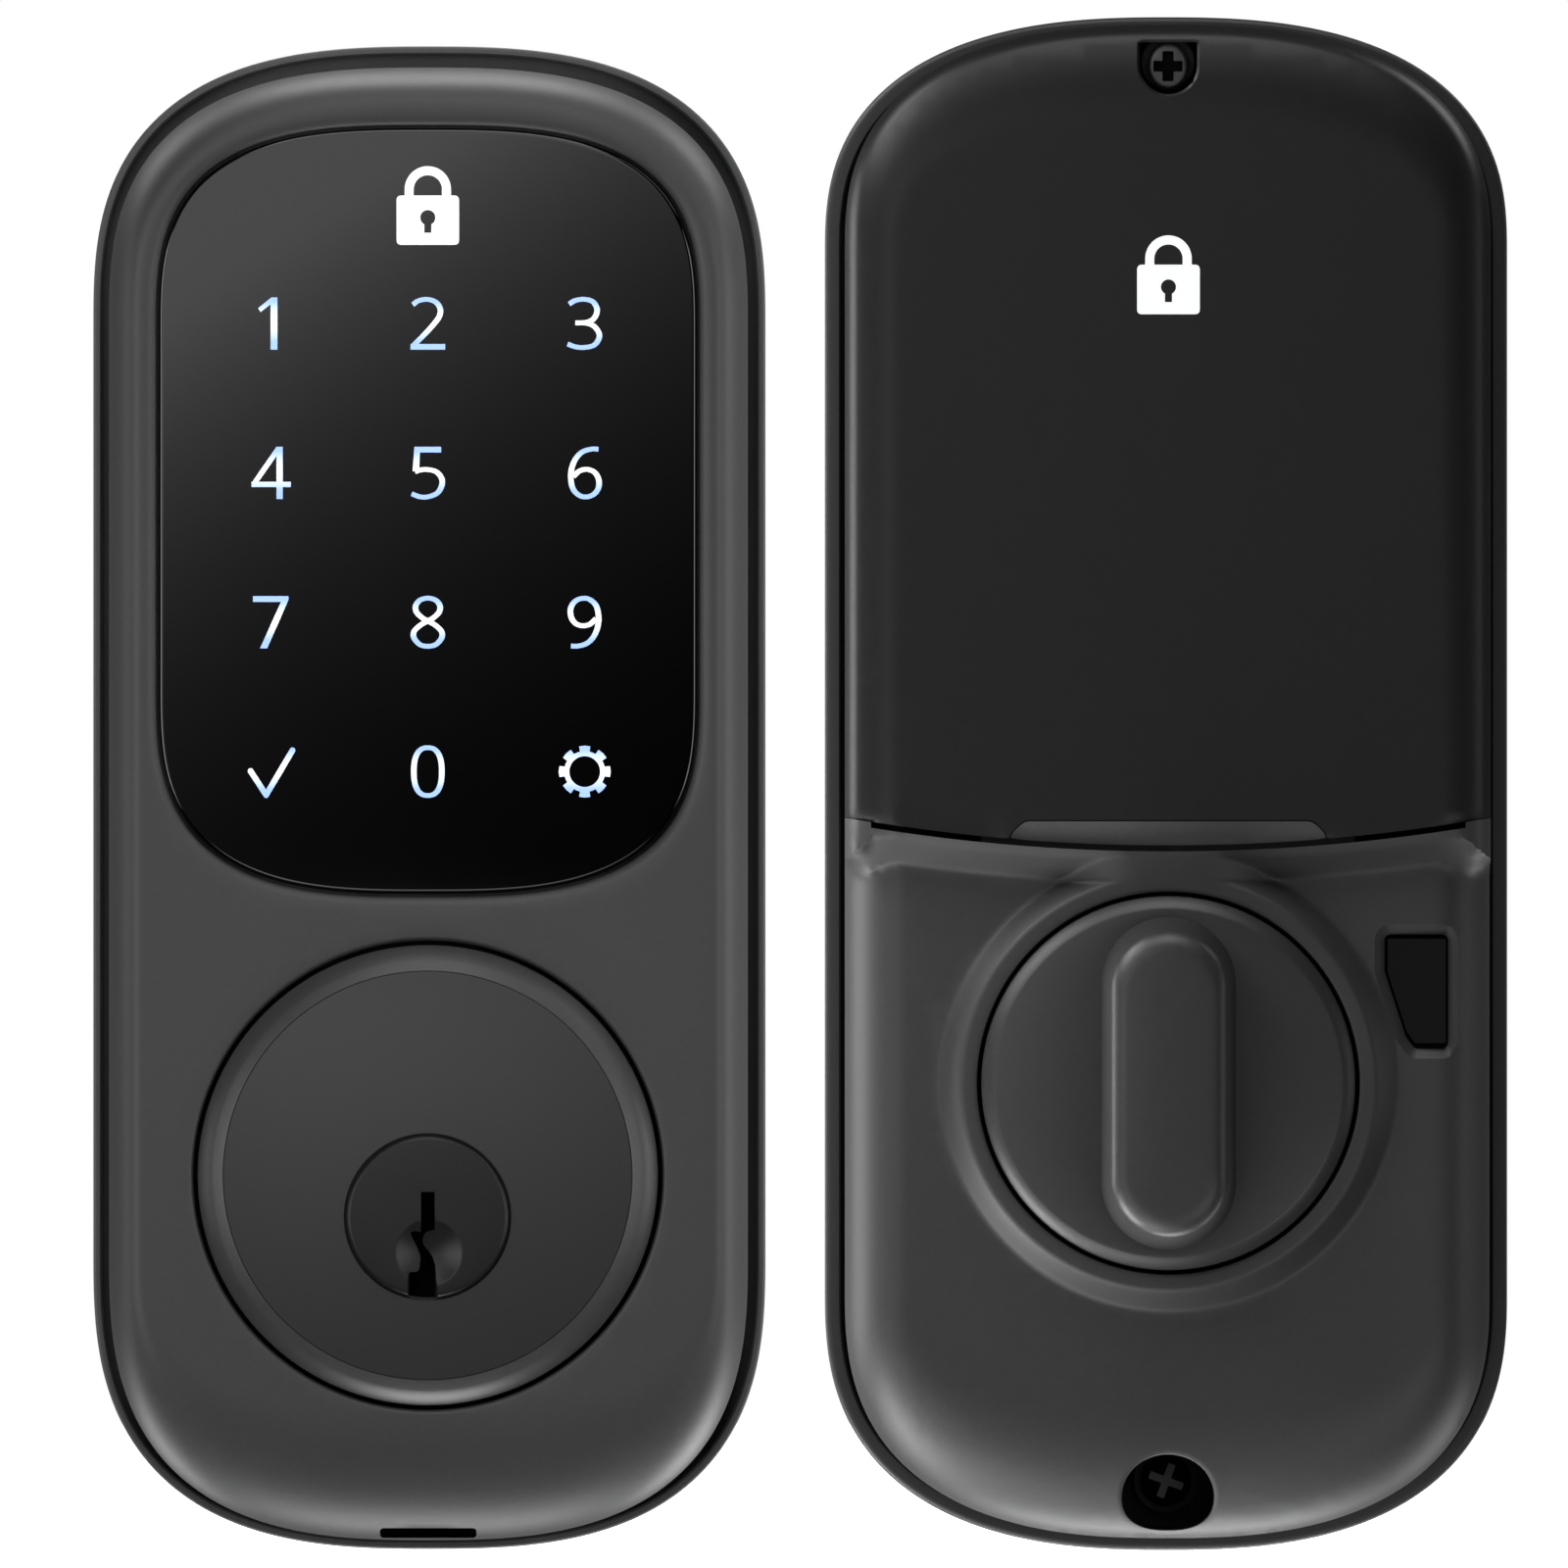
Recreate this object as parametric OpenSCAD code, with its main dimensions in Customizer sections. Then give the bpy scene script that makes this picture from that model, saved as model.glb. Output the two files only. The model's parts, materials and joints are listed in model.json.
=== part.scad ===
/* [Exterior module] */
// Width over the exterior base plate
ext_w = 66.9; // [64:0.1:72]
// Height over the exterior base plate
ext_h = 149.6; // [146:0.1:156]
// Depth from the door to the exterior face
ext_depth = 24; // [23:0.5:26]
// Width of the touch glass
glass_w = 53.3; // [48:0.1:54]
// Height of the touch glass
glass_h = 75.9; // [70:0.1:76]
// Height of one keypad digit
digit_h = 5; // [4:0.1:6]
// Sideways pitch of the keypad
key_pitch_x = 15.6; // [14:0.1:16]
// Upright pitch of the keypad
key_pitch_y = 14.8; // [13:0.1:15]

/* [Key cylinder] */
// Radius of the round cylinder face
disc_r = 22.66; // [22:0.01:22.8]
// Radius of the plug head around the keyway
plug_head_r = 8.15; // [7.8:0.05:8.4]
// Radius of the turning plug
plug_r = 6.4; // [6:0.05:6.5]
// Distance from the plug axis up to the middle of the round face
disc_rise = 4.1; // [3.5:0.1:4.5]
// Length of tailpiece behind the door face
tail_reach = 45; // [30:1:60]

/* [Interior module] */
// Width over the interior base
int_w = 67.86; // [66:0.01:72]
// Height over the interior base
int_h = 152.5; // [150:0.1:158]
// Depth from the door to the front of the battery cover
int_depth = 34; // [33.5:0.5:36]
// Centre distance of the two modules as laid out side by side
module_gap = 73.3; // [70:0.1:90]
// Radius of the round thumbturn base
turn_disc_r = 18.5; // [17.5:0.1:18.6]
// Width of the thumbturn grip
grip_w = 13.3; // [11:0.1:15]
// Length of the thumbturn grip
grip_l = 32; // [28:0.5:34]
// Distance from the door to the front of the grip
grip_z = 47; // [44:0.5:50]

/* [Door fixing] */
// Distance between the two through bolts
bolt_span = 38; // [36:0.5:42]
// Outer radius of each threaded mounting post
post_r = 4; // [3.5:0.1:4.5]
// Tapping radius in each post for an M5 bolt
post_thread_r = 2.1; // [2:0.05:2.25]

/* [Gears] */
// Gear module of every wheel
gear_m = 0.7; // [0.6:0.05:0.7]
// Teeth on the drive gear
drive_teeth = 40; // [38:1:40]
// Teeth on the small step of the intermediate gear
small_teeth = 12; // [12:1:14]
// Teeth on the large step of the intermediate gear
big_teeth = 30; // [28:1:30]
// Teeth on the motor pinion
pinion_teeth = 10; // [10:1:12]

/* [Hidden] */
$fn = 48;
eps = 0.01;
gap = 0.3;

// places of the two modules in the shared frame
ext_mid = 41.5;
int_mid = 42.9;
plug_y = -ext_mid;
disc_y = plug_y + disc_rise;
glass_y = 28.4;
glass_front = ext_depth - 0.5;
glass_t = 2;
glass_back = glass_front - glass_t;
print_t = 0.15;
turn_y = -29.6;

// corners of the outlines: rise of the rounded part and its exponent
ext_top_rise = 27.4;
ext_bottom_rise = 29.2;
ext_power = 2.74;
int_top_rise = 23;
int_bottom_rise = 25.4;
int_power = 2.54;
glass_rise = 20.3;
glass_power = 3;

// exterior base plate and housing
plate_back = 1;
plate_floor = 3;
plate_wall = 0.85;
plate_rim = 6;
shell_side_gap = 1.75;
shell_top_gap = 2.3;
shell_bottom_gap = 1.1;
shell_back = 3.2;
shell_wall = 2.2;
shell_inside = 20.5;
glass_gap = 0.25;
glass_lip = 2.5;
boss_at = [[22, 64], [-22, 64], [20, -64], [-20, -64]];
boss_r = 2.8;
screw_r = 1.25;
lug_at = [[13, -27], [-13, -27]];

// keypad
board_front = 19;
legend_depth = 0.3;
stroke = 0.65;
key_rows = 4;
key_top = 47.2;
badge_y = 58.7;

// cylinder depths
cyl_back = 3.2;
flange_back = 15;
flange_front = 18;
disc_front = 26;
head_back = 22.2;
head_front = 26.6;
pin_count = 5;
pin_first = 5.6;
pin_pitch = 3.7;
pin_hole_r = 1.5;
pin_r = 1.4;
shear_gap = 0.2;
chamber_top = 18.5;
tail_w = 6.35;
tail_t = 2;

// interior base and housing
base_rim = 9;
base_wall = 1.6;
base_floor_back = 2.2;
base_floor = 3.4;
case_side_gap = 1.98;
case_top_gap = 1.15;
case_bottom_gap = 1.45;
case_wall = 2.2;
face_z = 31;
face_inside = 28.5;
seam_r = 185.1;
seam_y = -6.1;
seam_gap = 0.6;
seam_mid = seam_y + seam_r;
cover_back = 9.6;
cover_skin = 2;
notch_w = 6;
notch_top = 74;
notch_bottom = 68.7;
top_screw_y = 71.4;
bottom_screw_y = -69.3;
post_top_r = 2.6;
shelf_back = 28.4;
shelf_front = 30.3;
housing_boss = [[27, -38], [-27, -38], [22, -58], [-22, -58]];

// thumbturn
turn_gap = 0.4;
collar_flat_r = 20.5;
collar_foot_r = 22.6;
collar_z = 33.4;
well_z = 30.5;
disc_z = 34.4;
neck_r = 6.9;
hub_r = 5;

// battery bay
cell_r = 7.2;
cell_l = 49.3;
cell_z = 22;
cell_pitch = 14.85;
cell_foot = 6.2;
cell_spring_l = 5.1;
tray_low = -2;
tray_high = 58;
tray_half = 29.4;
tray_back = 8.5;
board_back = 3.45;

// gear train
drive_r = gear_m * drive_teeth / 2;
small_r = gear_m * small_teeth / 2;
big_r = gear_m * big_teeth / 2;
pinion_r = gear_m * pinion_teeth / 2;
mesh_gap = 0.12;
idle_angle = -60;
motor_angle = -100;
idle_at = [0, turn_y] + (drive_r + small_r + mesh_gap) * [cos(idle_angle), sin(idle_angle)];
motor_at = idle_at + (big_r + pinion_r + mesh_gap) * [cos(motor_angle), sin(motor_angle)];
low_gear_z = 5.8;
high_gear_z = 10.8;
gear_t = 3.8;

// privacy button: corners of its hole, clockwise from the top left
button_hole = [[21.4, -14.9], [27.7, -14.9], [27.7, -26.2], [24.4, -26.2], [23.5, -25], [21.4, -18.5]];
button_mid = [25, -20];
button_front = 30.6;
button_travel = 1;

// ---------- frames ----------
// Both modules are drawn flat: x to the right, y up, z out of the door towards the user.
module on_exterior() { translate([0, 0, ext_mid]) rotate([90, 0, 0]) children(); }
module on_interior() { translate([module_gap, 0, int_mid]) rotate([90, 0, 0]) children(); }
module lift(z) { translate([0, 0, z]) children(); }
module slab(z0, z1) { translate([0, 0, z0]) linear_extrude(z1 - z0) children(); }
module at_each(places) { for (p = places) translate([p[0], p[1], 0]) children(); }

// ---------- outlines ----------
function bend(half, rise, power, steps) = [
  for (i = [0:steps]) let (t = 90 * i / steps)
    [half * pow(cos(t), 2 / power), rise * pow(sin(t), 2 / power)]
];
function flip(points) = [for (i = [len(points) - 1:-1:0]) points[i]];
// Straight sides with a rounded head and foot
function plan(half, top, bottom, top_rise, bottom_rise, power, steps = 13) =
  let (head = bend(half, top_rise, power, steps), foot = bend(half, bottom_rise, power, steps))
  concat(
    [for (p = head) [p[0], top - top_rise + p[1]]],
    [for (p = flip(head)) if (p[0] > eps) [-p[0], top - top_rise + p[1]]],
    [for (p = foot) [-p[0], -bottom + bottom_rise - p[1]]],
    [for (p = flip(foot)) if (p[0] > eps) [p[0], -bottom + bottom_rise - p[1]]]
  );

module ext_plan(side, top = -1, bottom = -1) {
  t = top < 0 ? side : top;
  b = bottom < 0 ? side : bottom;
  polygon(plan(ext_w / 2 - side, ext_h / 2 - t, ext_h / 2 - b,
    ext_top_rise - t, ext_bottom_rise - b, ext_power));
}
module shell_plan(side, top = -1, bottom = -1) {
  ext_plan(shell_side_gap + side, shell_top_gap + (top < 0 ? side : top),
    shell_bottom_gap + (bottom < 0 ? side : bottom));
}
module glass_plan(grow) {
  translate([0, glass_y])
    polygon(plan(glass_w / 2 + grow, glass_h / 2 + grow, glass_h / 2 + grow,
      glass_rise + grow, glass_rise + grow, glass_power));
}
module int_plan(side, top = -1, bottom = -1) {
  t = top < 0 ? side : top;
  b = bottom < 0 ? side : bottom;
  polygon(plan(int_w / 2 - side, int_h / 2 - t, int_h / 2 - b,
    int_top_rise - t, int_bottom_rise - b, int_power));
}
module case_plan(side, top = -1, bottom = -1) {
  int_plan(case_side_gap + side, case_top_gap + (top < 0 ? side : top),
    case_bottom_gap + (bottom < 0 ? side : bottom));
}

// ---------- small helpers ----------
module countersunk_screw(z_head, z_tip, head_r, shank_r) {
  // head at the door side, pointing out of the door
  difference() {
    rotate_extrude()
      polygon([[0, z_head], [head_r, z_head], [shank_r, z_head + head_r - shank_r],
        [shank_r, z_tip - shank_r], [0, z_tip]]);
    cross_recess(z_head - eps, z_head + 1, head_r * 0.62);
  }
}
module cross_recess(z0, z1, arm) {
  for (a = [0, 90]) rotate([0, 0, a])
    translate([-arm, -arm * 0.2, z0]) cube([2 * arm, arm * 0.4, z1 - z0]);
}
// Coil spring along z: one swept tube of eight sides
module coil(r0, r1, wire_r, z0, z1, turns, per_turn = 12, sides = 6) {
  rings = turns * per_turn;
  pts = [for (i = [0:rings]) let (a = 360 * i / per_turn, f = i / rings, r = r0 + (r1 - r0) * f)
    for (j = [0:sides - 1]) let (b = 360 * j / sides, d = r + wire_r * cos(b))
      [d * cos(a), d * sin(a), z0 + wire_r + (z1 - z0 - 2 * wire_r) * f + wire_r * sin(b)]];
  quads = [for (i = [0:rings - 1]) for (j = [0:sides - 1]) let (k = (j + 1) % sides)
    [i * sides + j, i * sides + k, (i + 1) * sides + k, (i + 1) * sides + j]];
  polyhedron(pts, concat(
    [for (q = quads) [q[0], q[1], q[2]]],
    [for (q = quads) [q[0], q[2], q[3]]],
    [[for (j = [sides - 1:-1:0]) j]],
    [[for (j = [0:sides - 1]) rings * sides + j]]));
}

// ---------- exterior base ----------
module exterior_gasket() {
  color("#1c1c1e") on_exterior() slab(0, plate_back) difference() {
    ext_plan(1);
    ext_plan(4.2);
  }
}
module exterior_backplate() {
  color("#4a4b4f") on_exterior() difference() {
    slab(plate_back, plate_rim) ext_plan(0);
    difference() {
      slab(plate_floor, plate_rim + eps) ext_plan(plate_wall, plate_wall, plate_wall - 0.1);
    }
    // tailpiece, cable, posts and screws
    translate([0, plug_y, 0]) cylinder(r = 9, h = 8);
    translate([-5.5, plug_y - 20.5, 0]) cube([11, 7, 8]);
    for (s = [-1, 1]) translate([s * bolt_span / 2, plug_y, 0]) cylinder(r = post_r + 0.05, h = 8);
    at_each(concat(boss_at, lug_at)) countersink(plate_back);
  }
}
module countersink(z) {
  translate([0, 0, z - eps]) cylinder(r1 = 2.75, r2 = 1.35, h = 1.4 + eps);
  cylinder(r = 1.35, h = 8);
}
module backplate_screws() {
  color("#8b8d92") on_exterior() at_each(boss_at)
    countersunk_screw(plate_back + 0.05, 13, 2.55, screw_r);
}
module cylinder_screws() {
  color("#8b8d92") on_exterior() at_each(lug_at)
    countersunk_screw(plate_back + 0.05, 13, 2.55, screw_r);
}
module mounting_posts() {
  color("#9a9ca1") on_exterior() for (s = [-1, 1]) translate([s * bolt_span / 2, plug_y, 0])
    difference() {
      union() {
        lift(-14) cylinder(r = post_r, h = 17 + eps);
        lift(plate_floor) cylinder(r = 5.5, h = 1.6);
      }
      lift(-14 - eps) cylinder(r = post_thread_r, h = 13);
    }
}

// ---------- exterior housing and keypad ----------
module exterior_housing() {
  color("#3b3c40") on_exterior() difference() {
    union() {
      difference() {
        hull() {
          slab(shell_back, 15.5) shell_plan(0);
          slab(19.5, 20.5) shell_plan(0.7, 0.7, 2.2);
          slab(22.4, 23.2) shell_plan(2.4, 1.8, 6.5);
          slab(23.6, ext_depth) shell_plan(4.2, 3.4, 12.5);
        }
        slab(shell_back - 1, shell_inside - 4) shell_plan(shell_wall);
        slab(shell_inside - 5, shell_inside) shell_plan(shell_wall + 1.6, shell_wall + 1.4, 8);
      }
      at_each(boss_at) slab(shell_back + 0.2, shell_inside + 0.5) circle(boss_r);
    }
    slab(glass_back, ext_depth + 5) glass_plan(glass_gap);
    slab(10, ext_depth) glass_plan(-glass_lip);
    translate([0, disc_y, 10]) cylinder(r = disc_r + 0.6, h = 20);
    at_each(boss_at) cylinder(r = screw_r + 0.05, h = 15);
    // drain slot in the lower edge
    translate([-4.8, -ext_h / 2 + 1, 6]) cube([9.6, 1, 20]);
  }
}
module keypad_glass() {
  color("#0c0d10") on_exterior() slab(glass_back, glass_front) glass_plan(0);
}
// printed windows on the back of the glass
module keypad_legends() {
  color("#dfe8ff") on_exterior() slab(glass_back - print_t, glass_back) legends_flat();
}
module keypad_badge() {
  color("white") on_exterior() slab(glass_back - print_t, glass_back) padlock_flat(badge_y);
}
function key_place(i) = [(i % 3 - 1) * key_pitch_x, key_top - floor(i / 3) * key_pitch_y];
module legends_flat() {
  for (i = [0:3 * key_rows - 1]) translate(key_place(i)) {
    if (i < 9) digit(i + 1);
    if (i == 9) tick();
    if (i == 10) digit(0);
    if (i == 11) cog();
  }
}

// Strokes of even width with round ends; a digit is drawn around its own middle
module bar(a, b) {
  d = b - a;
  translate(a) rotate(atan2(d[1], d[0])) {
    translate([0, -stroke / 2]) square([norm(d), stroke]);
    for (x = [0, norm(d)]) translate([x, 0]) circle(stroke / 2, $fn = 12);
  }
}
module bow(mid, rx, ry, from, to, steps = 10) {
  h = stroke / 2;
  arc = [for (i = [0:steps]) from + (to - from) * i / steps];
  polygon(concat(
    [for (a = arc) mid + [(rx + h) * cos(a), (ry + h) * sin(a)]],
    [for (a = flip(arc)) mid + [(rx - h) * cos(a), (ry - h) * sin(a)]]));
  for (a = [from, to]) translate(mid + [rx * cos(a), ry * sin(a)]) rotate(a) circle(h, $fn = 12);
}
module loop(mid, rx, ry) {
  h = stroke / 2;
  difference() {
    translate(mid) polygon([for (a = [0:15:345]) [(rx + h) * cos(a), (ry + h) * sin(a)]]);
    translate(mid) polygon([for (a = [0:15:345]) [(rx - h) * cos(a), (ry - h) * sin(a)]]);
  }
}
module digit(n) {
  h = (digit_h - stroke) / 2;
  w = 1.25;
  if (n == 0) loop([0, 0], w, h);
  if (n == 1) { bar([0.3, -h], [0.3, h]); bar([0.3, h], [-0.7, h - 0.7]); }
  if (n == 2) {
    bow([0, h - w], w, w, 170, -35);
    bar([w * cos(35), h - w - w * sin(35)], [-w, -h]);
    bar([-w, -h], [w, -h]);
  }
  if (n == 3) { bow([-0.1, h - 1.05], 1.05, 1.05, 150, -90); bow([-0.1, 1.12 - h], 1.2, 1.12, 90, -155); }
  if (n == 4) { bar([0.6, -h], [0.6, h]); bar([0.6, h], [-1.4, -0.8]); bar([-1.4, -0.8], [1.5, -0.8]); }
  if (n == 5) {
    bar([1.1, h], [-0.9, h]);
    bar([-0.9, h], [-1.05, 0.25]);
    bow([-0.15, -h + 1.35], 1.3, 1.35, 125, -145);
  }
  if (n == 6) { loop([0, -h + 1.3], 1.25, 1.3); bar([-1.15, -h + 1.75], [0.6, h]); }
  if (n == 7) { bar([-1.2, h], [1.2, h]); bar([1.2, h], [-0.5, -h]); }
  if (n == 8) { loop([0, h - 1.02], 1.02, 1.02); loop([0, -h + 1.16], 1.25, 1.16); }
  if (n == 9) { loop([0, h - 1.3], 1.25, 1.3); bar([1.15, h - 1.75], [-0.6, -h]); }
}
module tick() { bar([-1.9, 0], [-0.4, -1.5]); bar([-0.4, -1.5], [2.1, 1.9]); }
module cog() {
  difference() {
    union() {
      circle(2.05);
      for (a = [0:45:315]) rotate(a) translate([1.6, -0.42]) square([1, 0.84]);
    }
    circle(1.5);
  }
}
// Plain padlock sign
module padlock_flat(y) {
  translate([0, y]) {
    difference() {
      translate([-3.1, -3.9]) square([6.2, 4.9]);
      translate([0, -1.2]) circle(0.75);
      translate([-0.35, -2.7]) square([0.7, 1.5]);
    }
    difference() {
      translate([0, 1.6]) circle(2.3);
      translate([0, 1.6]) circle(1.4);
      translate([-3, -2]) square([6, 3]);
    }
  }
}
module light_guide() {
  color("#e8eef5") on_exterior() slab(board_front + 0.7, glass_back - print_t)
    glass_plan(-glass_lip - gap);
}
module touch_board() {
  color("#1f5d3a") on_exterior() difference() {
    slab(board_front - 1.6, board_front) translate([-22.5, glass_y - 32]) square([45, 64]);
    at_each([[-20, glass_y + 28], [20, glass_y + 28], [-20, glass_y - 29], [20, glass_y - 29]])
      cylinder(r = 1.1, h = 30);
  }
}
module keypad_leds() {
  color("#fff7cf") on_exterior() for (i = [0:3 * key_rows - 1]) translate(key_place(i))
    translate([-0.8, -0.4, board_front]) cube([1.6, 0.8, 0.5]);
}
module buzzer() {
  color("#26272a") on_exterior() translate([0, glass_y + 8, board_front - 6.6]) difference() {
    cylinder(r = 6, h = 5);
    lift(-eps) cylinder(r = 1, h = 1);
  }
}
module exterior_socket() {
  color("#e9e6da") on_exterior() translate([0, plug_y - 17, 0]) difference() {
    translate([-5.2, -3.2, 1.2]) cube([10.4, 6.4, 8]);
    translate([-4.2, -2.2, 1.2 - eps]) cube([8.4, 4.4, 6.5]);
  }
}

// ---------- key cylinder ----------
module cylinder_guard_ring() {
  color("#3f4044") on_exterior() translate([0, disc_y, 0]) rotate_extrude($fn = 96)
    polygon([[21.5, flange_front + 0.05], [disc_r, flange_front + 0.05], [disc_r, 24.7],
      [22, 25.5], [21.5, 25.5]]);
}
module cylinder_body() {
  color("#3d3e42") on_exterior() difference() {
    union() {
      translate([0, disc_y, 0]) rotate_extrude($fn = 96)
        polygon([[0, flange_back], [22.5, flange_back], [22.5, flange_front],
          [21.4, flange_front], [21.4, 25.1], [20.2, disc_front], [0, disc_front]]);
      translate([0, plug_y, cyl_back]) cylinder(r = 10, h = 13);
      translate([-5, plug_y, cyl_back]) cube([10, 21.5, 13]);
      at_each(lug_at) slab(cyl_back, flange_back + 1) circle(3.5);
    }
    translate([0, plug_y, 0]) cylinder(r = plug_r + 0.05, h = 40);
    translate([0, plug_y, head_back]) cylinder(r = plug_head_r + 0.15, h = 10);
    for (i = [0:pin_count - 1]) pin_place(i) cylinder(r = pin_hole_r, h = chamber_top);
    at_each(lug_at) cylinder(r = screw_r + 0.05, h = 14);
  }
}
module pin_place(i) {
  translate([0, plug_y, pin_first + i * pin_pitch]) rotate([-90, 0, 0]) children();
}
// Keyway section around the plug axis, with its warding steps
keyway = [
  [-0.7, 2.5], [0.67, 2.5], [0.67, -1.6], [-0.3, -1.7], [-0.5, -2.5], [0.1, -3.4], [0.55, -4.5],
  [0.7, -5.7], [0.75, -7], [-1.9, -7], [-1.8, -5.7], [-0.7, -5.1], [-0.7, -4], [-1.2, -2.5],
  [-1.65, -1.7], [-0.7, -1.5]
];
module key_plug() {
  color("#46474b") on_exterior() difference() {
    union() {
      translate([0, plug_y, 0]) rotate_extrude($fn = 72)
        polygon([[0, -0.6], [5.1, -0.6], [5.1, 1.9], [4.6, 1.9], [4.6, 2.9], [5.1, 2.9],
          [5.1, 3.1], [plug_r, 3.1], [plug_r, head_back + 0.1], [plug_head_r, head_back + 0.1],
          [plug_head_r, head_front - 0.4], [plug_head_r - 0.4, head_front], [0, head_front]]);
    }
    translate([0, plug_y, 4]) linear_extrude(30) keyway_flat();
    translate([0.1, plug_y - 3.7, head_front - 0.9]) cylinder(r1 = 2.2, r2 = 3.35, h = 0.9 + eps);
    for (i = [0:pin_count - 1]) pin_place(i) lift(1) cylinder(r = pin_hole_r, h = 10);
    // slot and cross hole for the tailpiece
    translate([-tail_t / 2 - 0.05, plug_y - tail_w / 2 - 0.05, -1])
      cube([tail_t + 0.1, tail_w + 0.1, 2.9]);
    translate([-7, plug_y, 0.6]) rotate([0, 90, 0]) cylinder(r = 0.65, h = 14);
  }
}
module keyway_flat() {
  intersection() {
    polygon(keyway);
    circle(6.3);
  }
}
module key_pins() {
  color("#c9a24c") on_exterior() for (i = [0:pin_count - 1]) pin_place(i) rotate_extrude()
    polygon([[0, 1.6], [0.5, 1.6], [pin_r, 2.6], [pin_r, 6.2], [0, 6.2]]);
}
module driver_pins() {
  color("#b9bcc2") on_exterior() for (i = [0:pin_count - 1]) pin_place(i)
    lift(plug_r + shear_gap) cylinder(r = pin_r, h = 5);
}
module pin_springs() {
  color("#c4c7cc") on_exterior() for (i = [0:pin_count - 1]) pin_place(i)
    coil(1, 1, 0.2, plug_r + shear_gap + 5.05, chamber_top - 0.05, 5, 9, 5);
}
module plug_retainer() {
  color("#9b9da2") on_exterior() translate([0, plug_y, 2.05]) difference() {
    cylinder(r = 7.4, h = 0.75);
    lift(-eps) cylinder(r = 4.65, h = 1);
    translate([-1.5, -8, -eps]) cube([3, 6, 1]);
  }
}
module tailpiece() {
  color("#a5a7ac") on_exterior() translate([0, plug_y, 0]) difference() {
    translate([-tail_t / 2, -tail_w / 2, -tail_reach]) cube([tail_t, tail_w, tail_reach + 1.8]);
    translate([-2, 0, 0.6]) rotate([0, 90, 0]) cylinder(r = 0.65, h = 4);
  }
}
module tailpiece_pin() {
  color("#8b8d92") on_exterior() translate([-4.9, plug_y, 0.6]) rotate([0, 90, 0])
    cylinder(r = 0.6, h = 9.8);
}

// ---------- interior base ----------
module mounting_plate() {
  color("#9a9ca1") on_interior() difference() {
    union() {
      slab(0, 2) int_plan(2.8);
      translate([0, top_screw_y, 0]) cylinder(r = 2, h = 8);
      translate([0, bottom_screw_y, 0]) cylinder(r = 2.6, h = 6);
    }
    for (s = [-1, 1]) translate([s * bolt_span / 2, turn_y, -1]) cylinder(r = 2.75, h = 5);
    translate([0, turn_y, -1]) cylinder(r = 8, h = 5);
    translate([0, -11, -1]) cylinder(r = 4.5, h = 5);
    translate([0, top_screw_y, -1]) cylinder(r = 1.3, h = 10);
    translate([0, bottom_screw_y, -1]) cylinder(r = 1.3, h = 10);
  }
}
module interior_base() {
  color("#46474b") on_interior() difference() {
    union() {
      difference() {
        slab(0, base_rim) int_plan(0);
        slab(-1, base_floor_back) int_plan(base_wall);
        slab(base_floor, base_rim + 1) int_plan(base_wall, base_wall, base_wall - 0.3);
      }
      translate([0, top_screw_y, base_floor]) cylinder(r = post_top_r, h = 24.6);
      translate([0, bottom_screw_y, base_floor]) cylinder(r = 3.2, h = 5);
    }
    translate([0, turn_y, 1]) cylinder(r = 9.5, h = 5);
    translate([0, -11, 1]) cylinder(r = 4.5, h = 5);
    for (s = [-1, 1]) translate([s * bolt_span / 2, turn_y, 1]) cylinder(r = 5, h = 5);
    translate([0, top_screw_y, 0]) cylinder(r = 2.1, h = 8.2);
    translate([0, bottom_screw_y, 0]) cylinder(r = 2.7, h = 6.2);
    translate([0, top_screw_y, 0]) cylinder(r = screw_r + 0.05, h = 40);
    translate([0, bottom_screw_y, 0]) cylinder(r = screw_r + 0.05, h = 20);
    at_each(housing_boss) lift(1) cylinder(r = 1.35, h = 5);
    at_each(housing_boss) translate([0, 0, base_floor_back - eps])
      cylinder(r1 = 2.55, r2 = 1.35, h = 1.2);
  }
}
module pan_screw(z_tip, z_head, head_r) {
  // head towards the user
  difference() {
    rotate_extrude()
      polygon([[0, z_tip], [screw_r, z_tip + screw_r], [screw_r, z_head], [head_r, z_head],
        [head_r, z_head + 1], [head_r * 0.7, z_head + 1.6], [0, z_head + 1.7]]);
    cross_recess(z_head + 0.6, z_head + 2, head_r * 0.68);
  }
}
module top_screw() {
  color("#2b2c2f") on_interior() translate([0, top_screw_y, 0]) pan_screw(1, 28.05, 2.2);
}
module bottom_screw() {
  color("#2b2c2f") on_interior() translate([0, bottom_screw_y, 0]) rotate([0, 0, 20])
    pan_screw(1, 8.45, 2.3);
}
module housing_screws() {
  color("#8b8d92") on_interior() at_each(housing_boss)
    countersunk_screw(base_floor_back + 0.05, 14, 2.4, screw_r);
}

// ---------- interior housing and battery cover ----------
module case_form() {
  hull() {
    slab(base_floor + 0.2, 24) case_plan(0);
    slab(28.5, 29.5) case_plan(1, 0.1, 3);
    slab(31.6, 32.4) case_plan(2.8, 0.5, 7.5);
    slab(int_depth - 0.4, int_depth) case_plan(4.8, 1.3, 12.5);
  }
}
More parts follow.
